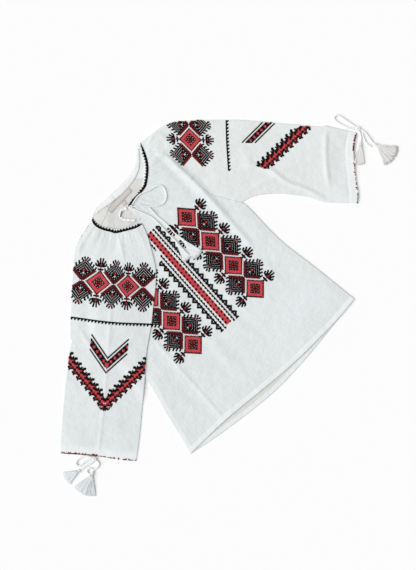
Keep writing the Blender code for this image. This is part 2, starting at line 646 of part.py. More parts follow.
def add_cord(name, route, diameter, material, collection):
    """A cord along a smooth curve through its route, lying on whatever is below it."""
    run = lengths_along(smooth_line(route))[-1]
    count = max(5, round(run / (2.0 * diameter)))
    line = at_fractions(route, even(count))
    reach = diameter / 2
    around = [(0, 0), (reach, 0), (-reach, 0), (0, reach), (0, -reach)]
    heights = [max(cloth_top(p[0] + dx, p[1] + dy) for dx, dy in around) for p in line]
    curve = bpy.data.curves.new(name, "CURVE")
    curve.dimensions = "3D"
    curve.bevel_depth = diameter / 2 * MM
    curve.bevel_resolution = 2
    curve.use_fill_caps = True
    spline = curve.splines.new("POLY")
    spline.points.add(count)
    for k, p in enumerate(line):
        rest = max(heights[max(0, k - 1):k + 2])
        z = rest + CORD_GAP + diameter / 2
        spline.points[k].co = (float(p[0]) * MM, float(p[1]) * MM, z * MM, 1.0)
    spline.use_smooth = True
    item = bpy.data.objects.new(name, curve)
    item.data.materials.append(material)
    collection.objects.link(item)
    return item


def add_knot(name, at, radius, material, collection):
    work = bmesh.new()
    bmesh.ops.create_uvsphere(work, u_segments=10, v_segments=6, radius=1.0)
    steps = [k / 4 * radius for k in range(-4, 5)]
    spots = [(dx, dy) for dx in steps for dy in steps if dx * dx + dy * dy <= radius * radius]
    middle = max(cloth_top(at[0] + dx, at[1] + dy) + CORD_GAP
                 + radius * KNOT_HEIGHT * math.sqrt(1 - (dx * dx + dy * dy) / radius ** 2) for dx, dy in spots)
    for vertex in work.verts:
        x = at[0] + vertex.co.x * radius
        y = at[1] + vertex.co.y * radius * KNOT_WIDTH
        z = middle + radius * KNOT_HEIGHT * vertex.co.z
        vertex.co = (x * MM, y * MM, z * MM)
    mesh = bpy.data.meshes.new(name)
    work.to_mesh(mesh)
    work.free()
    mesh.shade_smooth()
    return add_object(name, mesh, material, collection)


def place_ring(face, centre, across, half_width, half_height):
    """Moves a face's corners to a small upright rectangle about the centre."""
    corners = sorted(face.verts, key=lambda v: v.co.z)
    low, high = corners[:2], corners[2:]
    for pair, sign in ((low, -1), (high, 1)):
        pair = sorted(pair, key=lambda v: v.co.x * across[0] + v.co.y * across[1])
        for vertex, side in zip(pair, (-1, 1)):
            x = centre[0] + across[0] * half_width * side
            y = centre[1] + across[1] * half_width * side
            vertex.co = (x * MM, y * MM, (centre[2] + half_height * sign) * MM)


def add_tassel(row, material, collection):
    """A wound head whose front face carries the strands, each drawn out of its own small face."""
    head = TASSEL_HEAD
    turn = math.radians(row["turn"])
    ahead = (math.cos(turn), math.sin(turn))
    across = (-ahead[1], ahead[0])
    base = max(cloth_top(row["at"][0] + ahead[0] * k, row["at"][1] + ahead[1] * k) for k in (0, 3, 6, 9)) + CORD_GAP
    work = bmesh.new()
    bmesh.ops.create_grid(work, x_segments=TASSEL_STRANDS_ACROSS, y_segments=TASSEL_LAYERS, size=1.0)
    for vertex in work.verts:
        side = vertex.co.x * head["width"] / 2
        up = (vertex.co.y + 1) / 2 * head["height"]
        x = row["at"][0] + ahead[0] * head["length"] + across[0] * side
        y = row["at"][1] + ahead[1] * head["length"] + across[1] * side
        vertex.co = (x * MM, y * MM, (base + up) * MM)
    front = work.faces[:]
    rim = [edge for edge in work.edges if edge.is_boundary]
    for share, size in ((0.5, 1.15), (1.0, 0.5)):
        made = bmesh.ops.extrude_edge_only(work, edges=rim)
        fresh = [g for g in made["geom"] if isinstance(g, bmesh.types.BMVert)]
        rim = [g for g in made["geom"] if isinstance(g, bmesh.types.BMEdge) and g.is_boundary]
        reach = head["length"] * (1 - share)
        middle = Vector(((row["at"][0] + ahead[0] * reach) * MM, (row["at"][1] + ahead[1] * reach) * MM,
                         (base + head["height"] / 2) * MM))
        old = Vector((sum((v.co.x for v in fresh)) / len(fresh), sum((v.co.y for v in fresh)) / len(fresh),
                      (base + head["height"] / 2) * MM))
        scale = size if share < 1 else size / 1.15
        for vertex in fresh:
            offset = vertex.co - old
            offset.z *= 1.0 if share < 1 else scale
            vertex.co = middle + Vector((offset.x * scale, offset.y * scale, offset.z))
    bmesh.ops.contextual_create(work, geom=rim)
    bmesh.ops.inset_individual(work, faces=front, thickness=0.00008, use_even_offset=True)
    cell = head["width"] / TASSEL_STRANDS_ACROSS
    layer = head["height"] / TASSEL_LAYERS
    for index, face in enumerate(front):
        j, i = index % TASSEL_STRANDS_ACROSS, index // TASSEL_STRANDS_ACROSS
        spot = (j + 0.5) / TASSEL_STRANDS_ACROSS * 2 - 1
        angle = turn + math.radians(row["half_angle"]) * spot
        reach = row["length"] * (1 - 0.07 * ((j * 5 + i * 3) % 4) / 3)
        wide = 0.42 * (2 * math.radians(row["half_angle"]) * row["length"]) / TASSEL_STRANDS_ACROSS
        tip = face
        for step in range(1, TASSEL_SEGMENTS + 1):
            share = step / TASSEL_SEGMENTS
            made = bmesh.ops.extrude_discrete_faces(work, faces=[tip])
            tip = made["faces"][0]
            x = row["at"][0] + ahead[0] * head["length"] + across[0] * spot * head["width"] / 2 * (1 - 0.2 * share)
            y = row["at"][1] + ahead[1] * head["length"] + across[1] * spot * head["width"] / 2 * (1 - 0.2 * share)
            x += math.cos(angle) * reach * share
            y += math.sin(angle) * reach * share
            half_height = 0.42 * layer + (0.75 - 0.42 * layer) * share
            ground = cloth_top(x, y) + CORD_GAP
            start = base + layer * (i + 0.5)
            rest = ground + (2 * i + 1) * 0.85 + 0.1 * i
            z = start + (rest - start) * smooth_step(share * 1.6)
            half_width = 0.4 * cell + (wide - 0.4 * cell) * share
            place_ring(tip, (x, y, max(z, ground + half_height)), across, half_width * (0.7 if step == 3 else 1.0),
                       half_height)
    bmesh.ops.recalc_face_normals(work, faces=work.faces[:])
    mesh = bpy.data.meshes.new(row["name"])
    work.to_mesh(mesh)
    work.free()
    return add_object(row["name"], mesh, material, collection)


def main():
    clear_scene()
    blouse = make_collection("embroidered_blouse")
    cotton = make_material("cotton", 0.85)
    inside_cotton = make_material("cotton_inside", 0.85)
    cord = make_material("cord", 0.8)
    thread = make_material("tassel", 0.6)
    label = make_material("label", 0.7)
    add_back(cotton, blouse)
    add_front(cotton, blouse)
    add_sleeve_out(cotton, blouse)
    add_sleeve_down(cotton, blouse)
    add_back_casing(inside_cotton, blouse)
    add_casing_bunch(inside_cotton, blouse)
    add_plate("neck_label", LABEL, label, blouse)
    add_plate("size_tab", SIZE_TAB, label, blouse)
    for name, knot in KNOTS.items():
        add_knot(name, knot["at"], knot["radius"], cord, blouse)
    for row in CORDS:
        add_cord(row["name"], cord_route(row), row["d"], cord, blouse)
    for row in TASSELS:
        add_tassel(row, thread, blouse)


main()
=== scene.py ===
import json
import math
import random
import bmesh
import bpy
import numpy as np
from mathutils import Matrix, Vector

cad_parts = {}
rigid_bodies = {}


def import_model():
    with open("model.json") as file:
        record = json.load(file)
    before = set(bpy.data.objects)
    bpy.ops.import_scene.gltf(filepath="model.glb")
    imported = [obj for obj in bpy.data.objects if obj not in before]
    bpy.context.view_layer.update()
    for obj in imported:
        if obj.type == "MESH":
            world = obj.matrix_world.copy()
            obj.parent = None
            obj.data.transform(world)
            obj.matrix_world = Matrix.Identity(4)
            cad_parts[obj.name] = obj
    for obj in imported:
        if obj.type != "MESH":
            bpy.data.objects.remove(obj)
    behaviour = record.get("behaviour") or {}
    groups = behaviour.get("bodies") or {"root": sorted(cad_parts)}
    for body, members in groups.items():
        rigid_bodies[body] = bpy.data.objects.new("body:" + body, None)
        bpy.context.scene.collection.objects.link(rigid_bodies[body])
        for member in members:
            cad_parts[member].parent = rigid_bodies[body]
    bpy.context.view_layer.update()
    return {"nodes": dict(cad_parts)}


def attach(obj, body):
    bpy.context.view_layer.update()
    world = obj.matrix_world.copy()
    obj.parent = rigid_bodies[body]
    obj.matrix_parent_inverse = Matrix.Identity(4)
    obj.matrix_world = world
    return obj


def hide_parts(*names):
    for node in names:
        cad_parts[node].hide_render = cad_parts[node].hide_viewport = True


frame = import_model()
mm = 0.001  # all sizes below are in millimetres, in the lay: X to the right, Y up, Z off the ground
print("frame loaded:", len(frame["nodes"]), "nodes")

viewFrom = {"x": -3.8, "y": 11.4, "height": 2200.0, "seenHeight": 1083.0}  # straight above, as in the photo
cameraData = bpy.data.cameras.new("camera")
cameraData.lens = cameraData.sensor_width * viewFrom["height"] / viewFrom["seenHeight"]
cameraData.clip_start, cameraData.clip_end = 0.05, 20.0
camera = bpy.data.objects.new("camera", cameraData)
camera.location = (viewFrom["x"] * mm, viewFrom["y"] * mm, viewFrom["height"] * mm)
bpy.context.scene.collection.objects.link(camera)
bpy.context.scene.camera = camera


# Lines and outlines
def curveThrough(points, perSpan=10):
    p = np.array(points, float)
    p = np.vstack([2 * p[0] - p[1], p, 2 * p[-1] - p[-2]])
    t = (np.arange(perSpan) / perSpan)[:, None]
    out = []
    for k in range(1, len(p) - 2):
        a, b, c, d = p[k - 1], p[k], p[k + 1], p[k + 2]
        out.append(0.5 * (2 * b + (c - a) * t + (2 * a - 5 * b + 4 * c - d) * t ** 2
                          + (3 * b - a - 3 * c + d) * t ** 3))
    return np.vstack(out + [p[-2:-1]])


def runOf(line):
    return np.concatenate([[0.0], np.cumsum(np.linalg.norm(np.diff(line, axis=0), axis=1))])


def spread(points, fractions, perSpan=10):  # points at these fractions of the smooth curve's length
    line = curveThrough(points, perSpan)
    run = runOf(line)
    want = np.asarray(fractions) * run[-1]
    return np.stack([np.interp(want, run, line[:, k]) for k in range(line.shape[1])], 1)


def even(count):
    return np.linspace(0.0, 1.0, count + 1)


def graded(points, count, atStart=(), atEnd=()):  # even fractions, with extra ones at distances from the ends
    whole = runOf(curveThrough(points))[-1]
    extra = np.concatenate([np.array(atStart, float) / whole, 1 - np.array(atEnd, float) / whole])
    near = 0.4 / count  # an even fraction this near an extra one is left out
    rough = [f for f in even(count) if f in (0, 1) or len(extra) == 0 or np.min(np.abs(extra - f)) > near]
    return np.sort(np.concatenate([rough, extra]))


def smoothStep(value):
    t = np.clip(value, 0.0, 1.0)
    return t * t * (3.0 - 2.0 * t)


def bump(distance, width):
    return np.exp(-(distance / width) ** 2)


def nearest(xy, line):  # distance to a line, how far along it, and its whole length
    best = np.full(len(xy), 1e9)
    along = np.zeros(len(xy))
    run = runOf(line)
    for k in range(len(line) - 1):
        a, step = line[k], line[k + 1] - line[k]
        size = max(1e-12, float(step @ step))
        t = np.clip(((xy - a) @ step) / size, 0.0, 1.0)
        far = np.hypot(xy[:, 0] - a[0] - t * step[0], xy[:, 1] - a[1] - t * step[1])
        closer = far < best
        best = np.where(closer, far, best)
        along = np.where(closer, run[k] + t * math.sqrt(size), along)
    return best, along, run[-1]


def isInside(xy, outline):
    result = np.zeros(len(xy), bool)
    x, y = xy[:, 0], xy[:, 1]
    for (ax, ay), (bx, by) in zip(outline, np.roll(outline, -1, axis=0)):
        if ay != by:
            result ^= ((ay > y) != (by > y)) & (x < (bx - ax) * (y - ay) / (by - ay) + ax)
    return result


def depthIn(xy, outline):  # distance from the outline, positive inside it
    far = nearest(xy, np.vstack([outline, outline[:1]]))[0]
    return np.where(isInside(xy, outline), far, -far)


def patch(first, last, sideA, sideB):  # a grid of points between four curves
    u = (runOf(sideA) / runOf(sideA)[-1] + runOf(sideB) / runOf(sideB)[-1])[:, None, None] / 2
    v = (runOf(first) / runOf(first)[-1] + runOf(last) / runOf(last)[-1])[None, :, None] / 2
    edges = (1 - u) * first[None] + u * last[None] + (1 - v) * sideA[:, None] + v * sideB[:, None]
    return (edges - (1 - u) * (1 - v) * first[0] - (1 - u) * v * first[-1] - u * (1 - v) * last[0]
            - u * v * last[-1])


def joined(*stretches):
    return np.vstack([stretches[0]] + [s[1:] for s in stretches[1:]])


body = {"at": (-119.7, 107.5), "turn": math.radians(-48.0)}  # front neck point, and the way of the length


def toLay(points):  # points given along and across the body
    c, s = math.cos(body["turn"]), math.sin(body["turn"])
    p = np.array(points, float).reshape(-1, 2)
    return np.stack([body["at"][0] + p[:, 0] * c - p[:, 1] * s, body["at"][1] + p[:, 0] * s + p[:, 1] * c], 1)


cut = {  # edges of the body's pieces, along and across the body
    "frontNeck": [(-60, 8), (-66, 14), (-69, 35), (-74, 52), (-85, 69), (-97, 81), (-109, 90), (-122, 97.5)],
    "neckTip": [(-122, 97.5), (-131, 102.5), (-139, 107)],
    "frontFold": [(-60, 8), (-42, 7), (-24, 6)],
    "backNeck": [(-102, -12), (-102.5, 3), (-102, 20), (-104, 38)],
    "frontLeftSeam": [(-122, 97.5), (-104, 119), (-85, 131), (-51, 135), (-15, 137.5), (12, 139), (31, 146),
                      (75, 175)],
    "frontRightSeam": [(-24, 6), (0, -50), (30, -115), (75, -175)],
    "backLeftSeam": [(-104, 38), (-62, 92), (0, 136), (75, 175)],
    "backRightSeam": [(-102, -12), (-70, -36), (-38, -75), (10, -115), (50, -152), (75, -175)],
    "leftSide": [(75, 175), (95, 178), (177, 181), (262, 196), (355, 211)],
    "rightSide": [(75, -175), (140, -177), (211, -186), (275, -200), (365, -217)],
    "frontHem": [(365, -217), (362, -122), (366, -30), (368, 45), (363, 150), (355, 211)],
    "backHem": [(365, -217), (373, -167), (380, -100), (384, -15), (378, 61), (368, 130), (355, 211)],
}
cut = {name: toLay(points) for name, points in cut.items()}
cut["outBackNeck"] = toLay([(-139, 107), (-136, 99), (-121, 82), (-112, 66), (-107, 52), (-104, 38)])
sleeves = {  # edges of the sleeves, in the lay
    "outTop": [(-133.2, 282.4), (-125, 287), (-103, 304), (-80, 318), (-46, 323), (0, 324.5), (57, 324.3),
               (103, 321), (137, 317.3), (171, 315.4), (205, 311.6), (219, 313.5), (232, 310.7), (263, 304),
               (279.3, 300.2)],
    "outUnder": [(60.5, 168.9), (76, 177.7), (99, 183.4), (134, 185.3), (167, 181.5), (190, 177.7),
                 (213, 170), (245, 167.5), (281, 167.5)],
    "outCuff": [(279.3, 300.2), (275, 277), (275, 249), (278, 211), (282, 184), (281, 167.5)],
    "downNeck": [(-224.2, 139.7), (-216, 130), (-208, 125), (-199, 121.5), (-189, 119.5), (-178, 117.5),
                 (-166, 119.5), (-150, 123.7), (-138, 128), (-129.4, 127.3)],
    "downOuter": [(-224.2, 139.7), (-226, 129), (-241, 106), (-254.6, 84), (-260, 40), (-262.5, 0),
                  (-266, -80), (-262.5, -95), (-266, -112), (-271, -150), (-276, -190), (-281, -247),
                  (-284.6, -308.8)],
    "downInner": [(-129.4, 127.3), (-119.7, 107.5), (-110.2, 74.5), (-103.2, 42), (-103.2, 13), (-106.4, -15),
                  (-111.2, -62), (-117.2, -96), (-122.3, -130), (-122.6, -152), (-126.7, -198), (-134, -275),
                  (-140.6, -323)],
    "downCuff": [(-284.6, -308.8), (-250.8, -310.7), (-215, -314), (-171, -320.5), (-140.6, -323)],
    "downBackNeck": [(-224.2, 139.7), (-220.4, 151), (-210.9, 162.5), (-201, 171)],
}
cut.update({name: np.array(points, float) for name, points in sleeves.items()})


def outlineOf(*names):  # a name with a minus is followed backwards
    return np.vstack([(curveThrough(cut[n.lstrip("-")], 4)[::-1] if n.startswith("-")
                       else curveThrough(cut[n], 4))[:-1] for n in names])


outlines = {
    "front": outlineOf("frontNeck", "frontLeftSeam", "leftSide", "-frontHem", "-rightSide", "-frontRightSeam",
                       "-frontFold"),
    "back": outlineOf("backNeck", "backLeftSeam", "leftSide", "-backHem", "-rightSide", "-backRightSeam"),
    "down": outlineOf("downNeck", "downInner", "-downCuff", "-downOuter"),
    "out": outlineOf("neckTip", "outTop", "outCuff", "-outUnder", "-frontLeftSeam"),
    "downUnder": outlineOf("downBackNeck", "backRightSeam", "-downOuter"),
}
lines = {name: curveThrough(cut[name], 5) for name in (
    "leftSide", "rightSide", "frontHem", "backHem", "outCuff", "downCuff", "frontLeftSeam", "backRightSeam",
    "downNeck")}
lines["frontNeck"] = curveThrough(np.vstack([cut["frontNeck"], cut["neckTip"][1:]]), 6)

field = {"step": 2.0, "left": -330.0, "right": 400.0, "bottom": -430.0, "top": 380.0}  # the grid of heights


def onField(valueOf):
    xs = np.arange(field["left"], field["right"] + 1, field["step"])
    ys = np.arange(field["bottom"], field["top"] + 1, field["step"])
    gx, gy = np.meshgrid(xs, ys)
    return valueOf(np.stack([gx.ravel(), gy.ravel()], 1)).reshape(gx.shape)


def fromField(table, xy):
    xy = np.asarray(xy, float).reshape(-1, 2)
    fx = np.clip((xy[:, 0] - field["left"]) / field["step"], 0, table.shape[1] - 1.001)
    fy = np.clip((xy[:, 1] - field["bottom"]) / field["step"], 0, table.shape[0] - 1.001)
    x, y = fx.astype(int), fy.astype(int)
    tx, ty = fx - x, fy - y
    return ((table[y, x] * (1 - tx) + table[y, x + 1] * tx) * (1 - ty)
            + (table[y + 1, x] * (1 - tx) + table[y + 1, x + 1] * tx) * ty)


depths = {}
for name, outline in outlines.items():
    depths[name] = onField(lambda xy: depthIn(xy, outline))


def depth(xy, name):
    return fromField(depths[name], xy)


# Folds and heights
cloth = {"shell": 0.7, "lower": 0.5, "upper": 1.8, "casing": 7.0, "hem": 9.5, "cuffCasing": 17.0,
         "sideSeam": 9.0, "drapeReach": 34.0, "drapeFall": 20.0, "overBack": 1.3, "overFront": 2.75,
         "seamRise": 1.3, "riseReach": 14.0, "riseLength": 50.0, "openFade": 26.0, "sideFade": 14.0,
         "sleeveFade": 10.0, "puff": 0.8, "puffWidth": 45.0, "edgeFade": 4.0, "upperLoose": 0.6,
         "downLoose": 0.5}

# height, half width, sharpness (0 soft, 1 a pressed ridge) and the line of each fold of the upper layer
upperFolds = [
    {"height": 1.9, "half": 12, "sharp": 0.3,
     "line": [(-110, 276), (-80, 252), (-28, 208), (0, 176), (40, 133)]},
    {"height": -1.2, "half": 12, "sharp": 0, "line": [(-106, 262), (-82, 238), (-50, 205), (-20, 170)]},
    {"height": 1.3, "half": 6, "sharp": 0.8, "line": [(-113, -84), (-42, -165), (30, -246)]},
    {"height": -0.8, "half": 16, "sharp": 0, "line": [(-125, -95), (-54, -176), (18, -256)]},
    {"height": 1.6, "half": 8, "sharp": 0.6, "line": [(72, 190), (107, 209), (135, 212)]},
    {"height": 3.0, "half": 11, "sharp": 0.7,
     "line": [(-80, 252), (-17, 192), (21, 150), (59, 108), (85, 78)]},
    {"height": 3.0, "half": 9, "sharp": 0.8,
     "line": [(55, 238), (89, 238), (115, 229), (147, 206), (184, 192), (222, 172)]},
    {"height": 2.6, "half": 8, "sharp": 0.7, "line": [(221, 315), (219, 270), (221, 230), (226, 196)]},
    {"height": -1.8, "half": 30, "sharp": 0, "line": [(250, 290), (250, 262), (250, 226), (254, 206)]},
    {"height": 1.1, "half": 5, "sharp": 0.4, "line": [(36, 279), (42, 271), (34, 264)]},
    {"height": 1.8, "half": 7, "sharp": 0.5,
     "line": [(-119, 269), (-114, 285), (-109, 293), (-100, 298), (-89.7, 293), (-82, 283), (-80, 270),
              (-79, 263)]},
    {"height": 1.2, "half": 12, "sharp": 0.2, "line": [(60, 276), (72, 250), (76, 215)]},
    {"height": 1.0, "half": 18, "sharp": 0, "line": [(-40, -60), (60, -10), (130, 40)]},
    {"height": -1.0, "half": 16, "sharp": 0, "line": [(-30, 60), (40, -30), (110, -90)]},
    {"height": 0.9, "half": 20, "sharp": 0, "line": [(-60, -20), (0, -90), (60, -160)]},
    {"height": 0.8, "half": 10, "sharp": 0.3, "line": [(105, 55), (122, 32), (140, 8)]},
    {"height": 1.3, "half": 6, "sharp": 0.5, "line": [(-116, 84), (-104, 68), (-92, 52), (-84, 36)]},
]
downFolds = [
    {"height": 1.1, "half": 5, "sharp": 0.6,
     "line": [(-186, 60), (-186, 0), (-190, -60), (-196, -150), (-204, -240), (-213, -312)]},
    {"height": 1.7, "half": 8, "sharp": 0.5, "line": [(-250, -70), (-222, -110), (-196, -146)]},
    {"height": 1.7, "half": 8, "sharp": 0.5, "line": [(-138, -80), (-170, -118), (-196, -146)]},
    {"height": 1.4, "half": 9, "sharp": 0.3, "line": [(-222, 130), (-238, 110), (-248, 84), (-252, 50)]},
    {"height": 1.0, "half": 12, "sharp": 0.2, "line": [(-148, -236), (-180, -250), (-236, -240)]},
    {"height": -0.9, "half": 13, "sharp": 0, "line": [(-228, 40), (-232, -20), (-236, -90)]},
    {"height": 1.5, "half": 5, "sharp": 0.6,
     "line": [(-177, 112), (-172, 97), (-168, 84), (-165, 70), (-162, 50)]},
    {"height": 1.1, "half": 6, "sharp": 0.5, "line": [(-252, 84), (-236, 93), (-221, 101), (-198, 110)]},
]
foldLook = {"power": 1.6, "endHeight": 0.15, "endLength": 34.0}
gatherFan = {"centre": (-174.8, 188.1), "broad": 34, "broadHeight": 1.3, "broadFrom": 14.0,
             "broadLength": 88.0, "fine": 76, "fineHeight": 0.7, "fineFrom": 6.0, "fineLength": 40.0,
             "roll": 0.7, "startFade": 10.0}
cuffWrinkle = {"pitch": 6.6, "height": 0.75, "reach": 24.0, "seamDip": 0.45, "seamWidth": 1.3,
               "turnedRise": 0.25, "sideFade": 8.0}
seamLook = {"hemRise": 0.25, "hemDip": 0.3, "hemWidth": 0.9, "sideRise": 0.2, "raglanDip": 0.4,
            "raglanWidth": 1.7, "pucker": 0.3, "puckerWidth": 7.0}


def foldHeight(xy, folds):
    total = np.zeros(len(xy))
    for fold in folds:
        far, along, whole = nearest(xy, curveThrough(fold["line"], 5))
        share = np.clip(1 - far / fold["half"], 0, 1)
        profile = (1 - fold["sharp"]) * smoothStep(share) + fold["sharp"] * share ** foldLook["power"]
        ends = np.minimum(along, whole - along)
        total += fold["height"] * profile * smoothStep(foldLook["endHeight"] + ends / foldLook["endLength"])
    return total


def gatherHeight(xy, neckLine):  # soft ridges that fan out from the neck, and the casing's roll
    fan, width = gatherFan, cloth["casing"]
    far = nearest(xy, neckLine)[0]
    roll = np.where(far < width, fan["roll"] * np.sin(np.pi * np.clip(far / width, 0, 1)), 0)
    angle = np.arctan2(xy[:, 1] - fan["centre"][1], xy[:, 0] - fan["centre"][0])
    broad = 0.5 + 0.5 * np.cos(fan["broad"] * angle + 1.2 * np.sin(3 * angle))
    fine = 0.5 + 0.5 * np.cos(fan["fine"] * angle + 1.7 * np.sin(5 * angle) + 0.6 * np.sin(11 * angle))
    uneven = 0.65 + 0.35 * np.sin(7 * angle + 1.0) * np.sin(4 * angle)
    start = smoothStep((far - width + 2) / fan["startFade"])
    broad *= start * smoothStep(1 - (far - fan["broadFrom"]) / (fan["broadLength"] * (0.75 + 0.35 * uneven)))
    fine *= start * smoothStep(1 - (far - fan["fineFrom"]) / fan["fineLength"])
    return roll + fan["broadHeight"] * broad * uneven + fan["fineHeight"] * fine


def cuffHeight(xy, cuffLine, size):  # small ridges that run into the drawn cuff, and its seam
    look, casingEnd = cuffWrinkle, cloth["cuffCasing"]
    far, along, whole = nearest(xy, cuffLine)
    wave = 0.5 + 0.5 * np.cos(2 * np.pi * along / look["pitch"] + 1.6 * np.sin(along / 11.0)
                              + 0.5 * np.sin(far / 4.0 + along / 5.0))
    uneven = 0.6 + 0.4 * np.sin(along / 9.0 + 1.0)
    fade = smoothStep(1 - (far - casingEnd + 3) / look["reach"])
    inner = np.clip(np.minimum(along, whole - along) / look["sideFade"], 0, 1)
    seam = look["seamDip"] * bump(far - casingEnd, look["seamWidth"])
    turned = look["turnedRise"] * smoothStep((casingEnd - far) / 2)
    return (size * look["height"] * wave * uneven * fade - seam + turned) * inner


def softWaves(xy, size):  # the unevenness of cloth laid by hand, in three sizes of wave
    x, y = xy[:, 0], xy[:, 1]
    return size * (np.sin(x / 31 + 1.3 * np.sin(y / 47)) * np.sin(y / 37 + 0.7) * 0.5
                   + np.sin((x + y) / 23 + 2.1 * np.sin((x - y) / 61)) * 0.28
                   + np.sin((x - 0.6 * y) / 13.5 + 1.7 * np.sin(y / 29)) * 0.16)


def upperRelief(xy):
    openPart = smoothStep(-depth(xy, "down") / cloth["openFade"])
    side = np.minimum(nearest(xy, lines["leftSide"])[0], nearest(xy, lines["rightSide"])[0])
    relief = foldHeight(xy, upperFolds) + gatherHeight(xy, lines["frontNeck"]) + softWaves(xy, 1.0)
    return (relief + cloth["upperLoose"]) * openPart * smoothStep(side / cloth["sideFade"])


def seamHeight(xy):  # turned hem, side seam and raglan seam
    hem = nearest(xy, lines["frontHem"])[0]
    side = nearest(xy, lines["rightSide"])[0]
    raglan, along, _ = nearest(xy, lines["frontLeftSeam"])
    look = seamLook
    pucker = look["pucker"] * np.sin(along / 1.9 + 1.2 * np.sin(along / 7))
    pucker = pucker * bump(raglan, look["puckerWidth"])
    hemShape = (look["hemRise"] * smoothStep((cloth["hem"] + 1 - hem) / 1.2)
                - look["hemDip"] * bump(hem - cloth["hem"], look["hemWidth"]))
    return (hemShape + look["sideRise"] * smoothStep((cloth["sideSeam"] + 1 - side) / 2)
            - look["raglanDip"] * bump(raglan, look["raglanWidth"]) + pucker)


def upperMid(xy):
    puff = cloth["puff"] * smoothStep(depth(xy, "out") / cloth["puffWidth"])
    return cloth["upper"] + upperRelief(xy) + puff + seamHeight(xy) + cuffHeight(xy, lines["outCuff"], 1.0)


def downLift(xy):  # whatever the folded-down sleeve lies on
    overBack = smoothStep((cloth["drapeReach"] + depth(xy, "back")) / cloth["drapeFall"])
    overFront = smoothStep((cloth["drapeReach"] + depth(xy, "front")) / cloth["drapeFall"])
    return np.maximum(cloth["overBack"] * overBack, cloth["overFront"] * overFront)


def downMid(xy):
    relief = foldHeight(xy, downFolds) + gatherHeight(xy, lines["downNeck"]) + softWaves(xy, 0.9)
    relief = (relief + cloth["downLoose"]) * smoothStep(depth(xy, "down") / cloth["sleeveFade"])
    puff = smoothStep(depth(xy, "down") / cloth["puffWidth"])
    return downLift(xy) + cloth["upper"] + relief + puff + cuffHeight(xy, lines["downCuff"], 0.4)


def lowerFlat(xy):
    return np.full(len(xy), cloth["lower"])


def backMid(xy):  # beside the neck the back rises to its seam with the folded-down sleeve
    far, along, _ = nearest(xy, lines["backRightSeam"])
    rise = cloth["seamRise"] * smoothStep(1 - far / cloth["riseReach"])
    return cloth["lower"] + rise * smoothStep(2.2 - along / cloth["riseLength"])


heights = {"upper": onField(upperMid), "down": onField(downMid), "lift": onField(downLift)}


def topOf(xy):  # the topmost cloth, for what lies on it
    half, fade = cloth["shell"] / 2, cloth["edgeFade"]
    down = smoothStep(1 + depth(xy, "down") / fade)
    upper = np.maximum(smoothStep(1 + depth(xy, "front") / fade), smoothStep(1 + depth(xy, "out") / fade))
    back = smoothStep(1 + depth(xy, "back") / fade)
    below = np.maximum(back * (cloth["lower"] + half), upper * (fromField(heights["upper"], xy) + half))
    return np.maximum(below, down * (fromField(heights["down"], xy) + half))


heights["top"] = onField(topOf)


def clothTop(xy):
    return fromField(heights["top"], xy)


print("heights laid out:", heights["top"].shape)


# Materials
def newMaterial(name, colour, roughness, sheen=0.0, shine=0.12):
    material = bpy.data.materials.new(name)
    material.use_nodes = True
    nodes, links = material.node_tree.nodes, material.node_tree.links
    shader = nodes["Principled BSDF"]
    shader.inputs["Base Color"].default_value = (*colour, 1.0)
    shader.inputs["Roughness"].default_value = roughness
    shader.inputs["Specular IOR Level"].default_value = shine
    shader.inputs["Sheen Weight"].default_value = sheen
    shader.inputs["Sheen Roughness"].default_value = 0.5
    return material, nodes, links, shader


def addNode(nodes, kind, **values):
    node = nodes.new(kind)
    for name, value in values.items():
        if name in node.inputs:
            node.inputs[name].default_value = value
        else:
            setattr(node, name, value)
    return node


def mixed(nodes, links, first, second, factor):
    tone = addNode(nodes, "ShaderNodeMix", data_type="RGBA")
    for socket, value in (("A", first), ("B", second)):
        if isinstance(value, tuple):
            tone.inputs[socket].default_value = (*value, 1.0)
        else:
            links.new(value, tone.inputs[socket])
    links.new(factor, tone.inputs["Factor"])
    return tone.outputs["Result"]


weaveLook = {"threads": 1.7, "threadBump": 0.18, "crinkle": 0.7, "longSlub": 55.0, "acrossSlub": 520.0,
             "roughness": 0.88, "sheen": 0.1}


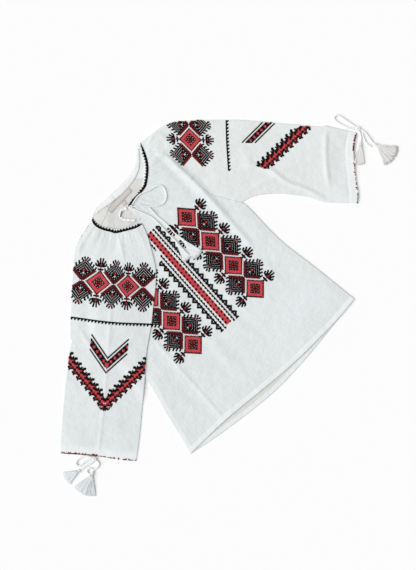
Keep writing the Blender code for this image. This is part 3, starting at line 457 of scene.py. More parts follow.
def clothMaterial(name, light, dark, doubled, inner=(0.7, 0.7, 0.7)):  # plain weave with uneven threads
    material, nodes, links, shader = newMaterial(name, light, weaveLook["roughness"], weaveLook["sheen"])
    place = addNode(nodes, "ShaderNodeTexCoord")
    turned = addNode(nodes, "ShaderNodeMapping")
    turned.inputs["Rotation"].default_value = (0.0, 0.0, body["turn"])
    links.new(place.outputs["Object"], turned.inputs["Vector"])
    weave = addNode(nodes, "ShaderNodeMath", operation="MAXIMUM")
    for k, direction in enumerate(("X", "Y")):
        wave = addNode(nodes, "ShaderNodeTexWave", wave_type="BANDS", bands_direction=direction,
                       Scale=1000 * weaveLook["threads"] / 3.1416, Distortion=1.2, Detail=1.0)
        links.new(turned.outputs["Vector"], wave.inputs["Vector"])
        links.new(wave.outputs["Fac"], weave.inputs[k])
    soft = addNode(nodes, "ShaderNodeTexNoise", Scale=38.0, Detail=5.0, Roughness=0.6)
    links.new(place.outputs["Object"], soft.inputs["Vector"])
    shade = addNode(nodes, "ShaderNodeTexNoise", Scale=9.0, Detail=3.0)
    links.new(place.outputs["Object"], shade.inputs["Vector"])
    longWay, shortWay = weaveLook["longSlub"], weaveLook["acrossSlub"]
    for stretch in ((longWay, shortWay), (shortWay, longWay)):  # thicker threads, both ways of the cloth
        slub = addNode(nodes, "ShaderNodeMapping")
        slub.inputs["Scale"].default_value = (*stretch, 1.0)
        links.new(turned.outputs["Vector"], slub.inputs["Vector"])
        grain = addNode(nodes, "ShaderNodeTexNoise", Scale=1.0, Detail=2.0)
        links.new(slub.outputs["Vector"], grain.inputs["Vector"])
        total = addNode(nodes, "ShaderNodeMath", operation="ADD")
        links.new(shade.outputs[0], total.inputs[0])
        links.new(grain.outputs["Fac"], total.inputs[1])
        shade = total
    ramp = addNode(nodes, "ShaderNodeMapRange")
    ramp.inputs["From Min"].default_value, ramp.inputs["From Max"].default_value = 1.2, 1.8
    links.new(shade.outputs[0], ramp.inputs["Value"])
    layers = addNode(nodes, "ShaderNodeAttribute", attribute_name="doubled")
    single = mixed(nodes, links, dark, light, ramp.outputs["Result"])
    turnedIn = addNode(nodes, "ShaderNodeAttribute", attribute_name="inner")
    outer = mixed(nodes, links, single, doubled, layers.outputs["Fac"])
    links.new(mixed(nodes, links, outer, inner, turnedIn.outputs["Fac"]), shader.inputs["Base Color"])
    wrinkle = addNode(nodes, "ShaderNodeBump", Strength=weaveLook["crinkle"], Distance=0.004)
    links.new(soft.outputs["Fac"], wrinkle.inputs["Height"])
    thread = addNode(nodes, "ShaderNodeBump", Strength=weaveLook["threadBump"], Distance=0.0002)
    links.new(weave.outputs["Value"], thread.inputs["Height"])
    links.new(wrinkle.outputs["Normal"], thread.inputs["Normal"])
    links.new(thread.outputs["Normal"], shader.inputs["Normal"])
    return material


def threadMaterial(name, colour, dark, roughness=0.6, sheen=0.1, scale=900.0, shine=0.12):
    material, nodes, links, shader = newMaterial(name, colour, roughness, sheen, shine)
    place = addNode(nodes, "ShaderNodeTexCoord")
    noise = addNode(nodes, "ShaderNodeTexNoise", Scale=scale, Detail=2.0)
    links.new(place.outputs["Object"], noise.inputs["Vector"])
    links.new(mixed(nodes, links, dark, colour, noise.outputs["Fac"]), shader.inputs["Base Color"])
    fuzz = addNode(nodes, "ShaderNodeBump", Strength=0.3, Distance=0.0003)
    links.new(noise.outputs["Fac"], fuzz.inputs["Height"])
    links.new(fuzz.outputs["Normal"], shader.inputs["Normal"])
    return material


finishes = {
    "bodyCotton": clothMaterial("bodyCotton", (0.765, 0.81, 0.82), (0.705, 0.73, 0.73), (0.80, 0.835, 0.84),
                                (0.735, 0.735, 0.71)),
    "sleeveCotton": clothMaterial("sleeveCotton", (0.78, 0.825, 0.83), (0.735, 0.75, 0.735),
                                  (0.82, 0.85, 0.85)),
    "insideCotton": clothMaterial("insideCotton", (0.74, 0.75, 0.735), (0.66, 0.66, 0.635),
                                  (0.79, 0.82, 0.825)),
    "casingCotton": clothMaterial("casingCotton", (0.87, 0.89, 0.88), (0.83, 0.83, 0.82), (0.9, 0.9, 0.9)),
    "cord": threadMaterial("cord", (0.90, 0.91, 0.91), (0.82, 0.83, 0.83), 0.8, 0.15, 500.0),
    "tassel": threadMaterial("tassel", (0.87, 0.905, 0.915), (0.80, 0.83, 0.845), 0.7, 0.2, 400.0),
    "greyTassel": threadMaterial("greyTassel", (0.78, 0.82, 0.835), (0.70, 0.735, 0.75), 0.7, 0.2, 400.0),
    "warmTassel": threadMaterial("warmTassel", (0.81, 0.80, 0.785), (0.72, 0.71, 0.695), 0.7, 0.2, 400.0),
    "red": threadMaterial("redThread", (0.66, 0.068, 0.078), (0.44, 0.036, 0.046), sheen=0.0),
    "black": threadMaterial("blackThread", (0.009, 0.008, 0.009), (0.003, 0.003, 0.003), sheen=0.0,
                            shine=0.03),
    "maroon": threadMaterial("maroonThread", (0.20, 0.010, 0.016), (0.08, 0.005, 0.008), sheen=0.0),
    "white": threadMaterial("whiteThread", (0.92, 0.92, 0.92), (0.86, 0.86, 0.86)),
    "fine": threadMaterial("fineThread", (0.74, 0.75, 0.76), (0.62, 0.63, 0.64)),
    "overcast": threadMaterial("overcastThread", (0.30, 0.015, 0.022), (0.14, 0.008, 0.012), sheen=0.0),
    "labelRed": threadMaterial("labelRed", (0.50, 0.37, 0.35), (0.42, 0.30, 0.28)),
    "label": threadMaterial("labelTape", (0.66, 0.635, 0.61), (0.56, 0.535, 0.51)),
}
print("materials made:", len(finishes))


# Making pieces
def meshOf(work, name="shape"):
    mesh = bpy.data.meshes.new(name)
    work.to_mesh(mesh)
    work.free()
    return mesh


def coordsOf(mesh):
    shape = np.zeros(len(mesh.vertices) * 3)
    mesh.vertices.foreach_get("co", shape)
    return shape.reshape(-1, 3)


def finishPiece(name, work, finish, node=None, wall=None, smooth=True, marks=None):
    mesh = work if isinstance(work, bpy.types.Mesh) else meshOf(work, name)
    mesh.name = name
    if smooth:
        mesh.shade_smooth()
    for attribute, valueOf in (marks or {}).items():
        values = valueOf(coordsOf(mesh) / mm).astype(np.float32)
        mesh.attributes.new(attribute, "FLOAT", "POINT").data.foreach_set("value", values)
    piece = bpy.data.objects.new(name, mesh)
    mesh.materials.append(finishes[finish])
    bpy.context.scene.collection.objects.link(piece)
    if wall:
        modifier = piece.modifiers.new("wall", "SOLIDIFY")
        modifier.thickness, modifier.offset, modifier.use_rim = wall * mm, 0.0, True
    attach(piece, "root")
    if node:
        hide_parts(node)
    return piece


def gridOn(points, closed=False):  # a grid whose vertices lie on the points, rows by columns
    rows, columns = points.shape[:2]
    work = bmesh.new()
    bmesh.ops.create_grid(work, x_segments=columns - 1, y_segments=rows - 1, size=1.0)
    for vertex in work.verts:
        j = round((vertex.co.x + 1) / 2 * (columns - 1))
        i = round((vertex.co.y + 1) / 2 * (rows - 1))
        vertex.co = points[i, j] * mm
    if closed:
        bmesh.ops.remove_doubles(work, verts=work.verts[:], dist=0.00001)
    bmesh.ops.recalc_face_normals(work, faces=work.faces[:])
    return work


def withHeights(flat, heightOf):
    xy = flat.reshape(-1, 2)
    return np.concatenate([xy, heightOf(xy)[:, None]], 1).reshape(*flat.shape[:2], 3)


def pulledIn(grid, gap=0.05, sides=True):  # draws the edges inwards, to leave the seam gap
    moved = grid.copy()

    def towards(a, b):
        step = b - a
        size = np.maximum(gap, np.linalg.norm(step, axis=-1, keepdims=True))
        return a + step * (gap / size)
    moved[0] = towards(grid[0], grid[1])
    if sides:
        moved[:, 0] = towards(moved[:, 0], grid[:, 1])
        moved[:, -1] = towards(moved[:, -1], grid[:, -2])
    return moved


def tubeOn(path, radiusOf, sides, squash=1.0):  # a closed tube along points; radiusOf(step, angle)
    ahead = np.gradient(path, axis=0)
    ahead /= np.linalg.norm(ahead, axis=1, keepdims=True)
    side = np.cross(ahead, [0.0, 0.0, 1.0])
    side /= np.linalg.norm(side, axis=1, keepdims=True)
    up = np.cross(side, ahead) * squash
    angles = np.linspace(0, 2 * np.pi, sides + 1)
    k = np.arange(len(path))
    radius = radiusOf(k[:, None], angles[None, :])
    points = path[:, None] + radius[..., None] * (np.cos(angles)[None, :, None] * side[:, None]
                                                  + np.sin(angles)[None, :, None] * up[:, None])
    points[:, -1] = points[:, 0]
    work = gridOn(points, closed=True)
    bmesh.ops.holes_fill(work, edges=[e for e in work.edges if e.is_boundary])
    bmesh.ops.recalc_face_normals(work, faces=work.faces[:])
    return work


def merged(work, other):
    mesh = meshOf(other)
    work.from_mesh(mesh)
    bpy.data.meshes.remove(mesh)


def copiesOf(template, coords, name):  # one mesh of many copies; coords holds each copy's points
    work = bmesh.new()
    for _ in range(len(coords)):
        work.from_mesh(template)
    mesh = meshOf(work, name)
    mesh.vertices.foreach_set("co", (coords.reshape(-1) * mm).astype(np.float32))
    mesh.update()
    return mesh


# Drawstrings, their knots and tassels
cords = {
    "neck": {"diameter": 2.6, "knot": (-150.0, 159.5), "knotRadius": 3.2, "knotNode": "neck_knot"},
    "down": {"diameter": 3.6, "knot": (-219.0, -318.5), "knotRadius": 4.0, "knotNode": "down_cuff_knot"},
    "out": {"diameter": 3.6, "knot": (281.0, 308.5), "knotRadius": 4.0, "knotNode": "out_cuff_knot"},
}
tassels = {  # head, way of the fan in degrees, its half angle, the threads' length and their finish
    "neck_tassel_a": {"at": (-52.8, 98.4), "turn": -45, "halfAngle": 13.5, "length": 40, "finish": "tassel"},
    "neck_tassel_b": {"at": (-64.2, 92.8), "turn": -56, "halfAngle": 9, "length": 35, "finish": "tassel"},
    "down_cuff_tassel_a": {"at": (-246.4, -339.4), "turn": -147, "halfAngle": 22, "length": 29,
                           "finish": "greyTassel"},
    "down_cuff_tassel_b": {"at": (-222.0, -343.4), "turn": -113, "halfAngle": 29, "length": 42,
                           "finish": "greyTassel"},
    "out_cuff_tassel_a": {"at": (312.4, 279.2), "turn": -36, "halfAngle": 30, "length": 42,
                          "finish": "warmTassel"},
    "out_cuff_tassel_b": {"at": (285.8, 281.6), "turn": -93, "halfAngle": 12, "length": 37,
                          "finish": "warmTassel"},
}
cordRoutes = {
    "neck_loop": {"of": "neck", "start": True, "end": "knot", "route": [
        (-147.5, 164.2), (-141.4, 174), (-134.5, 182), (-127, 186.5), (-118, 189.5), (-110, 194), (-102, 199),
        (-93, 200.5), (-86.5, 194.5), (-83, 185), (-83.5, 174), (-88.5, 166.5), (-97, 162.3), (-108, 161),
        (-120, 161), (-134, 161.6), (-144.2, 160.7)]},
    "neck_end_a": {"of": "neck", "start": False, "end": "neck_tassel_a", "route": [
        (-114.8, 157.9), (-107.5, 150.1), (-99.2, 140.8), (-87, 131.1), (-76.8, 120.8), (-66.5, 109.4)]},
    "neck_end_b": {"of": "neck", "start": True, "end": "neck_tassel_b", "route": [
        (-145.4, 155.6), (-138, 152), (-126, 147.4), (-114, 142.2), (-103.5, 134), (-94, 124.4), (-84.5, 114),
        (-75, 104)]},
    "down_cuff_loop": {"of": "down", "start": True, "end": "knot", "route": [
        (-222.5, -316.5), (-232, -313.3), (-240.5, -314.1), (-248.5, -318), (-253.5, -323.5),
        (-253.5, -329.5), (-248.5, -331.8), (-242.5, -328.5), (-236, -323.4), (-222.7, -320.1)]},
    "down_cuff_end_a": {"of": "down", "start": True, "end": "down_cuff_tassel_a", "route": [
        (-220, -322.4), (-226, -327.2), (-233, -330.6), (-239, -334.6)]},
    "down_cuff_end_b": {"of": "down", "start": True, "end": "down_cuff_tassel_b", "route": [
        (-216.5, -321.6), (-211.6, -325.6), (-211.6, -331.4), (-215.5, -336.4)]},
    "down_cuff_curl": {"of": "down", "start": False, "end": None, "route": [
        (-222.45, -337.6), (-228.4, -336.6), (-232.6, -339.2), (-233.4, -343.4), (-230, -346.2)]},
    "out_cuff_loop": {"of": "out", "start": True, "end": "knot", "route": [
        (277.8, 311), (268, 317.4), (258, 324.2), (247, 332), (240.5, 333.6), (236, 330.5), (237, 324.5),
        (244, 319), (254, 313.6), (264, 309.6), (277.2, 307.4)]},
    "out_cuff_end_a": {"of": "out", "start": True, "end": "out_cuff_tassel_a", "route": [
        (284.8, 307.3), (292.8, 302.6), (299, 295), (304.2, 288)]},
    "out_cuff_end_b": {"of": "out", "start": True, "end": "out_cuff_tassel_b", "route": [
        (282.2, 304.7), (285, 298.5), (286.6, 291.5)]},
    "out_cuff_curl": {"of": "out", "start": False, "end": None, "route": [
        (289.4, 299.6), (291.4, 291.5), (294.8, 283.8), (300.5, 277.4), (306, 274.8)]},
}
cordLook = {"sides": 12, "step": 0.8, "plies": 3, "plyDepth": 0.16, "pitch": 3.4, "lift": 0.5,
            "intoKnot": 0.6, "intoTassel": 1.0, "restsOn": 0.6}


def cordPath(name):
    row = cordRoutes[name]
    kind = cords[row["of"]]
    knot, route = np.array(kind["knot"]), [np.array(p, float) for p in row["route"]]
    for index, isKnot in ((0, row["start"]), (-1, row["end"] == "knot")):
        if isKnot:  # the end goes a little into the knot
            away = route[index] - knot
            route[index] = knot + away / np.linalg.norm(away) * kind["knotRadius"] * cordLook["intoKnot"]
    if row["end"] in tassels:
        tassel = tassels[row["end"]]
        turn = math.radians(tassel["turn"])
        for back in (1.3 * kind["diameter"] + 0.6, -cordLook["intoTassel"]):
            route.append(np.array(tassel["at"]) - np.array([math.cos(turn), math.sin(turn)]) * back)
    whole = runOf(curveThrough(route))[-1]
    flat = spread(route, even(max(8, round(whole / cordLook["step"]))))
    tops = clothTop(flat)
    width = max(1, round(kind["diameter"] * cordLook["restsOn"] / cordLook["step"]))
    wide = np.pad(tops, width, mode="edge")
    tops = np.max([wide[k:k + len(tops)] for k in range(2 * width + 1)], axis=0)
    kernel = np.ones(2 * width + 1) / (2 * width + 1)
    tops = np.convolve(np.pad(tops, width, mode="edge"), kernel, mode="valid")
    return np.concatenate([flat, (tops + kind["diameter"] / 2 + cordLook["lift"])[:, None]], 1)


cordPieces = {}
cordPaths = {}
for name, row in cordRoutes.items():
    diameter = cords[row["of"]]["diameter"]
    path = cordPath(name)
    stepTurn = 2 * np.pi * cordLook["step"] / (cordLook["pitch"] * diameter)

    def cordRadius(k, angle):
        lobe = np.abs(np.sin(cordLook["plies"] / 2 * (angle + k * stepTurn)))
        return diameter / 2 * (1 - cordLook["plyDepth"] * (1 - lobe) ** 2)
    work = tubeOn(path, cordRadius, cordLook["sides"])
    cordPieces[name] = finishPiece(name + "_look", work, "cord", name)
    cordPaths[name] = path
print("cords laid:", len(cordPieces))


knotLook = {"turns": ((0.5, 0.95, 0.0), (2.2, 0.8, 0.5)),  # each turn's tilt, squeeze and shift
            "steps": 60, "rise": 0.55, "dome": 0.85, "lift": 0.1, "cord": 0.46, "tight": 0.42, "sides": 10}


def knotLoops(kind):  # two turns of cord pulled tight over each other
    at, radius, diameter = np.array(kind["knot"]), kind["knotRadius"], kind["diameter"]
    steps = np.linspace(-radius, radius, 7)
    spots = np.array([(a, b) for a in steps for b in steps if a * a + b * b <= radius * radius])
    dome = knotLook["dome"] * np.sqrt(np.maximum(0, radius ** 2 - (spots ** 2).sum(1)))
    middle = float(np.max(clothTop(at + spots) + dome)) + knotLook["lift"]
    t = np.linspace(0, 2 * np.pi, knotLook["steps"] + 1)[:-1]
    reach = radius - diameter * knotLook["tight"]
    loops = []
    for tilt, squeeze, shift in knotLook["turns"]:
        x = reach * np.cos(t)
        y = reach * squeeze * np.sin(t)
        z = reach * knotLook["rise"] * np.sin(2 * t + shift)
        path = np.stack([at[0] + x * math.cos(tilt) - y * math.sin(tilt),
                         at[1] + x * math.sin(tilt) + y * math.cos(tilt), middle + z], 1)
        loops.append(np.vstack([path, path[:2]]))
    return loops


for kind in cords.values():
    work = bmesh.new()
    thick = kind["diameter"] * knotLook["cord"]
    for path in knotLoops(kind):
        merged(work, tubeOn(path, lambda k, angle: thick + 0 * (k + angle), knotLook["sides"]))
    finishPiece(kind["knotNode"] + "_look", work, "cord", kind["knotNode"])
print("knots tied:", len(cords))

tasselLook = {"threads": 130, "segments": 7, "threadRadius": 0.78, "layerHeight": 3.4, "bend": 1.8,
              "headLength": 7.0, "headRadius": 2.6, "headHeight": 2.7, "headSteps": 26, "headSides": 14,
              "wraps": 5, "wrapDepth": 0.22, "lift": 0.3}


def threadShape():
    work = bmesh.new()
    bmesh.ops.create_cone(work, cap_ends=True, segments=4, radius1=1.0, radius2=1.0, depth=1.0)
    sides = [e for e in work.edges if abs(e.verts[0].co.z - e.verts[1].co.z) > 0.5]
    bmesh.ops.subdivide_edges(work, edges=sides, cuts=tasselLook["segments"] - 1)
    return meshOf(work, "thread")


def makeTassel(row, seed, template):
    rng = random.Random(seed)
    turn = math.radians(row["turn"])
    ahead = np.array([math.cos(turn), math.sin(turn)])
    across = np.array([-ahead[1], ahead[0]])
    at = np.array(row["at"])
    head = tasselLook["headLength"]
    base = float(np.max(clothTop([at + ahead * k for k in (0, 3, 6, 9)]))) + tasselLook["lift"]
    shape = coordsOf(template)
    s = shape[:, 2] + 0.5
    coords = []
    for _ in range(tasselLook["threads"]):
        spot = rng.uniform(-1, 1)
        layer = rng.random()
        length = row["length"] * (1 - 0.12 * rng.random() ** 2 - 0.05 * abs(spot))
        angle = turn + math.radians(row["halfAngle"]) * spot * (0.9 + 0.2 * rng.random())
        bend = rng.uniform(-tasselLook["bend"], tasselLook["bend"])
        wave, phase = rng.uniform(0.2, 0.6), rng.uniform(0, 6.3)
        forward = np.array([math.cos(angle), math.sin(angle)])
        sideways = np.array([-forward[1], forward[0]])
        root = at + ahead * (head - 1.5) + across * spot * tasselLook["headRadius"] * 0.75
        way = ahead * (1 - smoothStep(s * 3))[:, None] + forward * smoothStep(s * 3)[:, None]
        bow = (bend * s ** 2 + wave * np.sin(s * 7 + phase) * s)[:, None]
        flat = root + (s * length)[:, None] * way + sideways * bow
        ground = clothTop(flat) + 0.35
        low = ground + 0.5 + layer * tasselLook["layerHeight"] * (1 - 0.55 * s)
        high = base + 1.0 + layer * tasselLook["layerHeight"]
        z = high * (1 - smoothStep(s * 2.5)) + low * smoothStep(s * 2.5)
        size = tasselLook["threadRadius"] * (1 + 0.1 * s)
        coords.append(np.concatenate([flat + sideways * (shape[:, 0] * size)[:, None],
                                      (np.maximum(z, ground + 0.45) + shape[:, 1] * size)[:, None]], 1))
    mesh = copiesOf(template, np.array(coords), "threads")
    work = bmesh.new()
    work.from_mesh(mesh)
    bpy.data.meshes.remove(mesh)
    steps = tasselLook["headSteps"]
    middle = base + tasselLook["headHeight"]
    path = np.array([(*(at + ahead * (head * t - 1.0)), middle) for t in even(steps)])

    def headRadius(k, angle):
        t = k / steps
        belly = tasselLook["headRadius"] * np.sqrt(np.clip(1 - (2 * t - 1) ** 4, 0.05, 1))
        turns = np.abs(np.sin(t * np.pi * tasselLook["wraps"] / 0.6))
        wound = np.where((t > 0.2) & (t < 0.8), tasselLook["wrapDepth"] * turns, 0)
        return belly + wound + 0 * angle
    merged(work, tubeOn(path, headRadius, tasselLook["headSides"]))
    bmesh.ops.recalc_face_normals(work, faces=work.faces[:])
    return work


threadTemplate = threadShape()
tasselPieces = {}
for seed, (name, row) in enumerate(tassels.items()):
    work = makeTassel(row, seed + 11, threadTemplate)
    tasselPieces[name] = finishPiece(name + "_look", work, row["finish"], name)
bpy.data.meshes.remove(threadTemplate)
print("tassels tied:", len(tasselPieces))

shortest = 31.0  # stretches shorter than this are listed with the loop they are tied to; the lists are not used
for name, path in cordPaths.items():
    length = runOf(path)[-1]
    row = cordRoutes[name]
    if length < shortest:
        continue
    going = [tasselPieces[row["end"]]] if row["end"] in tassels else []
    if row["end"] == "knot":
        sameCord = [n for n in cordPaths if cordRoutes[n]["of"] == row["of"]]
        shorter = [n for n in sameCord if runOf(cordPaths[n])[-1] < shortest]
        going += [cordPieces[n] for n in shorter]
        going += [tasselPieces[cordRoutes[n]["end"]] for n in shorter if cordRoutes[n]["end"] in tassels]
        going.append(bpy.data.objects[cords[row["of"]]["knotNode"] + "_look"])

# Cloth pieces
sheets = {
    "front": {"seamRows": 74, "sideRows": 112, "foldRows": 8, "columns": 168},
    "back": {"seamRows": 24, "sideRows": 60, "columns": 90},
    "out": {"rows": 142, "neckColumns": 8, "seamColumns": 62, "underNeck": 8, "underSeam": 24},
    "down": {"rows": 178, "columns": 70, "underNeck": 4, "underBack": 14, "underFront": 14},
}
neckInside = {"at": (-205.0, 145.0), "radius": 48.0, "below": 2.4}
nearSeam = (1.5, 3.2)  # extra rows beside a seam
nearHem = (13.0, 10.6, 9.5, 8.4, 5.0, 2.0)
nearCasing = (20.0, 18.2, 17.0, 15.8, 12.0, 8.0, 4.0, 1.5)


def doubledFront(spots):  # where the cloth lies double: hem, side seam and neck casing
    xy = spots[:, :2]
    hem = smoothStep((cloth["hem"] + 0.6 - nearest(xy, lines["frontHem"])[0]) / 1.2)
    side = smoothStep((cloth["sideSeam"] + 1 - nearest(xy, lines["rightSide"])[0]) / 2)
    neck = smoothStep((cloth["casing"] + 0.5 - nearest(xy, lines["frontNeck"])[0]) / 1.5)
    return np.maximum(hem, np.maximum(side * 0.8, neck))


def doubledBack(spots):
    return smoothStep((cloth["hem"] + 0.6 - nearest(spots[:, :2], lines["backHem"])[0]) / 1.2)


def doubledSleeve(cuffLine, neckLine):
    def marks(spots):
        xy = spots[:, :2]
        cuff = smoothStep((cloth["cuffCasing"] + 0.6 - nearest(xy, cuffLine)[0]) / 1.2)
        return np.maximum(cuff, smoothStep((cloth["casing"] + 0.5 - nearest(xy, neckLine)[0]) / 1.5))
    return marks


def innerDown(spots):  # the lower layer of the folded-down sleeve, where the neck shows its inside
    away = np.hypot(spots[:, 0] - neckInside["at"][0], spots[:, 1] - neckInside["at"][1])
    return ((away < neckInside["radius"]) & (spots[:, 2] < neckInside["below"])).astype(float)


def makeFront():
    g = sheets["front"]
    sideRows = graded(cut["leftSide"], g["sideRows"], atEnd=nearHem)
    left = joined(spread(cut["frontLeftSeam"], even(g["seamRows"])), spread(cut["leftSide"], sideRows))
    right = joined(spread(cut["frontFold"], even(g["foldRows"])),
                   spread(cut["frontRightSeam"], even(g["seamRows"] - g["foldRows"])),
                   spread(cut["rightSide"], sideRows))
    columns = graded(cut["frontHem"], g["columns"], atStart=nearSeam + (9.0, 10.0), atEnd=nearSeam)
    flat = pulledIn(patch(spread(cut["frontNeck"], columns), spread(cut["frontHem"], columns), right, left))
    return finishPiece("front_panel_look", gridOn(withHeights(flat, upperMid)), "bodyCotton",
                       "front_panel", wall=cloth["shell"], marks={"doubled": doubledFront})


def makeBack():
    g = sheets["back"]
    sideRows = graded(cut["leftSide"], g["sideRows"], atEnd=nearHem)
    left = joined(spread(cut["backLeftSeam"], even(g["seamRows"])), spread(cut["leftSide"], sideRows))
    right = joined(spread(cut["backRightSeam"], even(g["seamRows"])), spread(cut["rightSide"], sideRows))
    top = spread(cut["backNeck"], even(g["columns"]))
    flat = pulledIn(patch(top, spread(cut["backHem"], even(g["columns"])), right, left))
    return finishPiece("back_panel_look", gridOn(withHeights(flat, backMid)), "insideCotton",
                       "back_panel", wall=cloth["shell"], marks={"doubled": doubledBack})


def tubeSheet(upper, lower, upperHeight, lowerHeight, foldSteps=5):  # a flattened tube, row by row
    top, low = withHeights(upper, upperHeight), withHeights(lower, lowerHeight)

    def fold(edge, inner, zFrom, zTo):
        half = (zFrom - zTo) / 2
        away = edge - inner
        away = away / np.linalg.norm(away, axis=1, keepdims=True)
        angle = np.pi / 2 - np.pi * np.arange(foldSteps + 1) / foldSteps
        back = np.abs(half)[:, None] * (1 - np.cos(angle))[None]
        flat = edge[:, None] - away[:, None] * back[..., None]
        z = ((zFrom + zTo) / 2)[:, None] + half[:, None] * np.sin(angle)[None]
        return np.concatenate([flat, z[..., None]], 2)
    under = fold(upper[:, -1], upper[:, -2], top[:, -1, 2], low[:, -1, 2])
    over = fold(upper[:, 0], upper[:, 1], low[:, 0, 2], top[:, 0, 2])
    ring = np.concatenate([top[:, 1:-1], under, low[:, -2:0:-1], over], 1)
    return np.concatenate([ring, ring[:, :1]], 1)


def makeOut():
    g = sheets["out"]
    rows = graded(cut["outTop"], g["rows"], atStart=nearSeam, atEnd=nearCasing)
    start = joined(spread(cut["neckTip"][::-1], even(g["neckColumns"])),
                   spread(cut["frontLeftSeam"], even(g["seamColumns"])))
    underStart = joined(spread(cut["outBackNeck"], even(g["underNeck"])),
                        spread(cut["backLeftSeam"], even(g["underSeam"])))
    top, under = spread(cut["outTop"], rows), spread(cut["outUnder"], rows)
    upperCuff = spread(cut["outCuff"], even(len(start) - 1))
    lowerCuff = spread(cut["outCuff"], even(len(underStart) - 1))
    upper = pulledIn(patch(start, upperCuff, top, under), sides=False)
    lower = pulledIn(patch(underStart, lowerCuff, top, under), sides=False)
    ring = tubeSheet(upper, lower, upperMid, lowerFlat)
    marks = {"doubled": doubledSleeve(lines["outCuff"], lines["frontNeck"])}
    return finishPiece("sleeve_out_look", gridOn(ring, closed=True), "sleeveCotton", "sleeve_out",
                       wall=cloth["shell"], marks=marks)


def makeDown():
    g = sheets["down"]
    rows = graded(cut["downOuter"], g["rows"], atStart=(2.0, 4.0), atEnd=nearCasing)
    outer, inner = spread(cut["downOuter"], rows), spread(cut["downInner"], rows)
    neck, cuff = spread(cut["downNeck"], even(g["columns"])), spread(cut["downCuff"], even(g["columns"]))
    underStart = joined(spread(cut["downBackNeck"], even(g["underNeck"])),
                        spread(cut["backRightSeam"], even(g["underBack"])),
                        spread(cut["frontRightSeam"][::-1], even(g["underFront"])))
    underCuff = spread(cut["downCuff"], even(len(underStart) - 1))
    upper = patch(neck, cuff, outer, inner)
    lower = pulledIn(patch(underStart, underCuff, outer, inner), sides=False)
    ring = tubeSheet(upper, lower, downMid, lambda xy: cloth["lower"] + downLift(xy))
    marks = {"doubled": doubledSleeve(lines["downCuff"], lines["downNeck"]), "inner": innerDown}
    return finishPiece("sleeve_down_look", gridOn(ring, closed=True), "bodyCotton", "sleeve_down",
                       wall=cloth["shell"], marks=marks)


front, back, sleeveOut, sleeveDown = makeFront(), makeBack(), makeOut(), makeDown()
for piece in (front, back, sleeveOut, sleeveDown):
    faces = piece.data.polygons
    print(piece.name, "area", round(sum(p.area for p in faces), 4), "faces", len(faces))
print("cloth laid")

# The neck casing's inside, the labels and the seams that show inside the neck
casing = {"edge": [(-96.5, -46), (-100, -36), (-101.5, -22), (-101.8, 3), (-101.3, 20), (-105, 48),
                   (-113.5, 70), (-124, 84), (-133, 95)],
          "widths": [3.5, 9, 12, 12, 12, 12, 11, 7, 2.5], "gap": 0.3, "steps": 70, "roll": 0.35, "wave": 0.2,
          "bunch": [(-158, 157), (-166.5, 154), (-170.6, 147), (-169, 139.5), (-161.5, 135.3), (-150, 134.4),
                    (-141.5, 133.8)],
          "bunchHalf": 3.0, "bunchSteps": 60, "bunchAt": 1.9, "bunchRoll": 0.45, "bunchWave": 0.35}


def sideOf(line):  # unit vectors to the left of a line
    ahead = np.gradient(line, axis=0)
    ahead /= np.linalg.norm(ahead, axis=1, keepdims=True)
    return np.stack([-ahead[:, 1], ahead[:, 0]], 1)


def makeBackCasing():
    line = spread(toLay(casing["edge"]), even(casing["steps"]))
    widths = np.interp(even(casing["steps"]), even(len(casing["widths"]) - 1), casing["widths"])
    shares = np.linspace(0, 1, 7)
    flat = line[:, None] - sideOf(line)[:, None] * (casing["gap"] + widths[:, None] * shares[None])[..., None]
    reach = np.array([(a, b) for a in (-9, 0, 9) for b in (-9, 0, 9)])
    around = (line[:, None] + reach[None]).reshape(-1, 2)
    under = 1.0 + np.where(depth(around, "downUnder") > 0, fromField(heights["lift"], around), 0)
    under = under.reshape(len(line), -1).max(1) + 0.4
    run = runOf(line)
    roll = casing["roll"] * np.sin(np.pi * shares)[None]
    roll = roll + casing["wave"] * np.sin(run / 2.6 + np.sin(run / 9))[:, None] * shares[None]
    roll = roll * smoothStep((1 - shares) * 4)[None]
    points = np.concatenate([flat, (under[:, None] + roll)[..., None]], 2)
    finishPiece("neck_casing_back_look", gridOn(points), "casingCotton", "neck_casing_back",
                wall=cloth["shell"])


def makeBunch():
    steps = casing["bunchSteps"]
    line = spread(casing["bunch"], even(steps))
    half = casing["bunchHalf"] - 0.7 * even(steps)
    shares = np.linspace(-1, 1, 7)
    flat = line[:, None] + sideOf(line)[:, None] * (half[:, None] * shares[None])[..., None]
    run = runOf(line)
    gathers = np.sin(run / 1.3 + 0.8 * np.sin(run / 5))[:, None]
    z = casing["bunchAt"] + casing["bunchRoll"] * (1 - shares ** 2)[None] + casing["bunchWave"] * gathers
    work = gridOn(np.concatenate([flat, z[..., None]], 2))
    finishPiece("neck_casing_bunch_look", work, "casingCotton", "neck_casing_bunch",
                wall=cloth["shell"])


labels = {
    "neck_label": {"along": -82.8, "across": 5.0, "length": 58.0, "width": 11.0, "border": 0.8},
    "size_tab": {"along": -73.0, "across": 7.5, "length": 9.0, "width": 8.0, "border": 0.5},
}
tapeLook = {"skew": -0.075, "wave": 0.12, "bevel": 0.12, "tape": (1.4, 1.9), "line": (1.75, 2.02)}


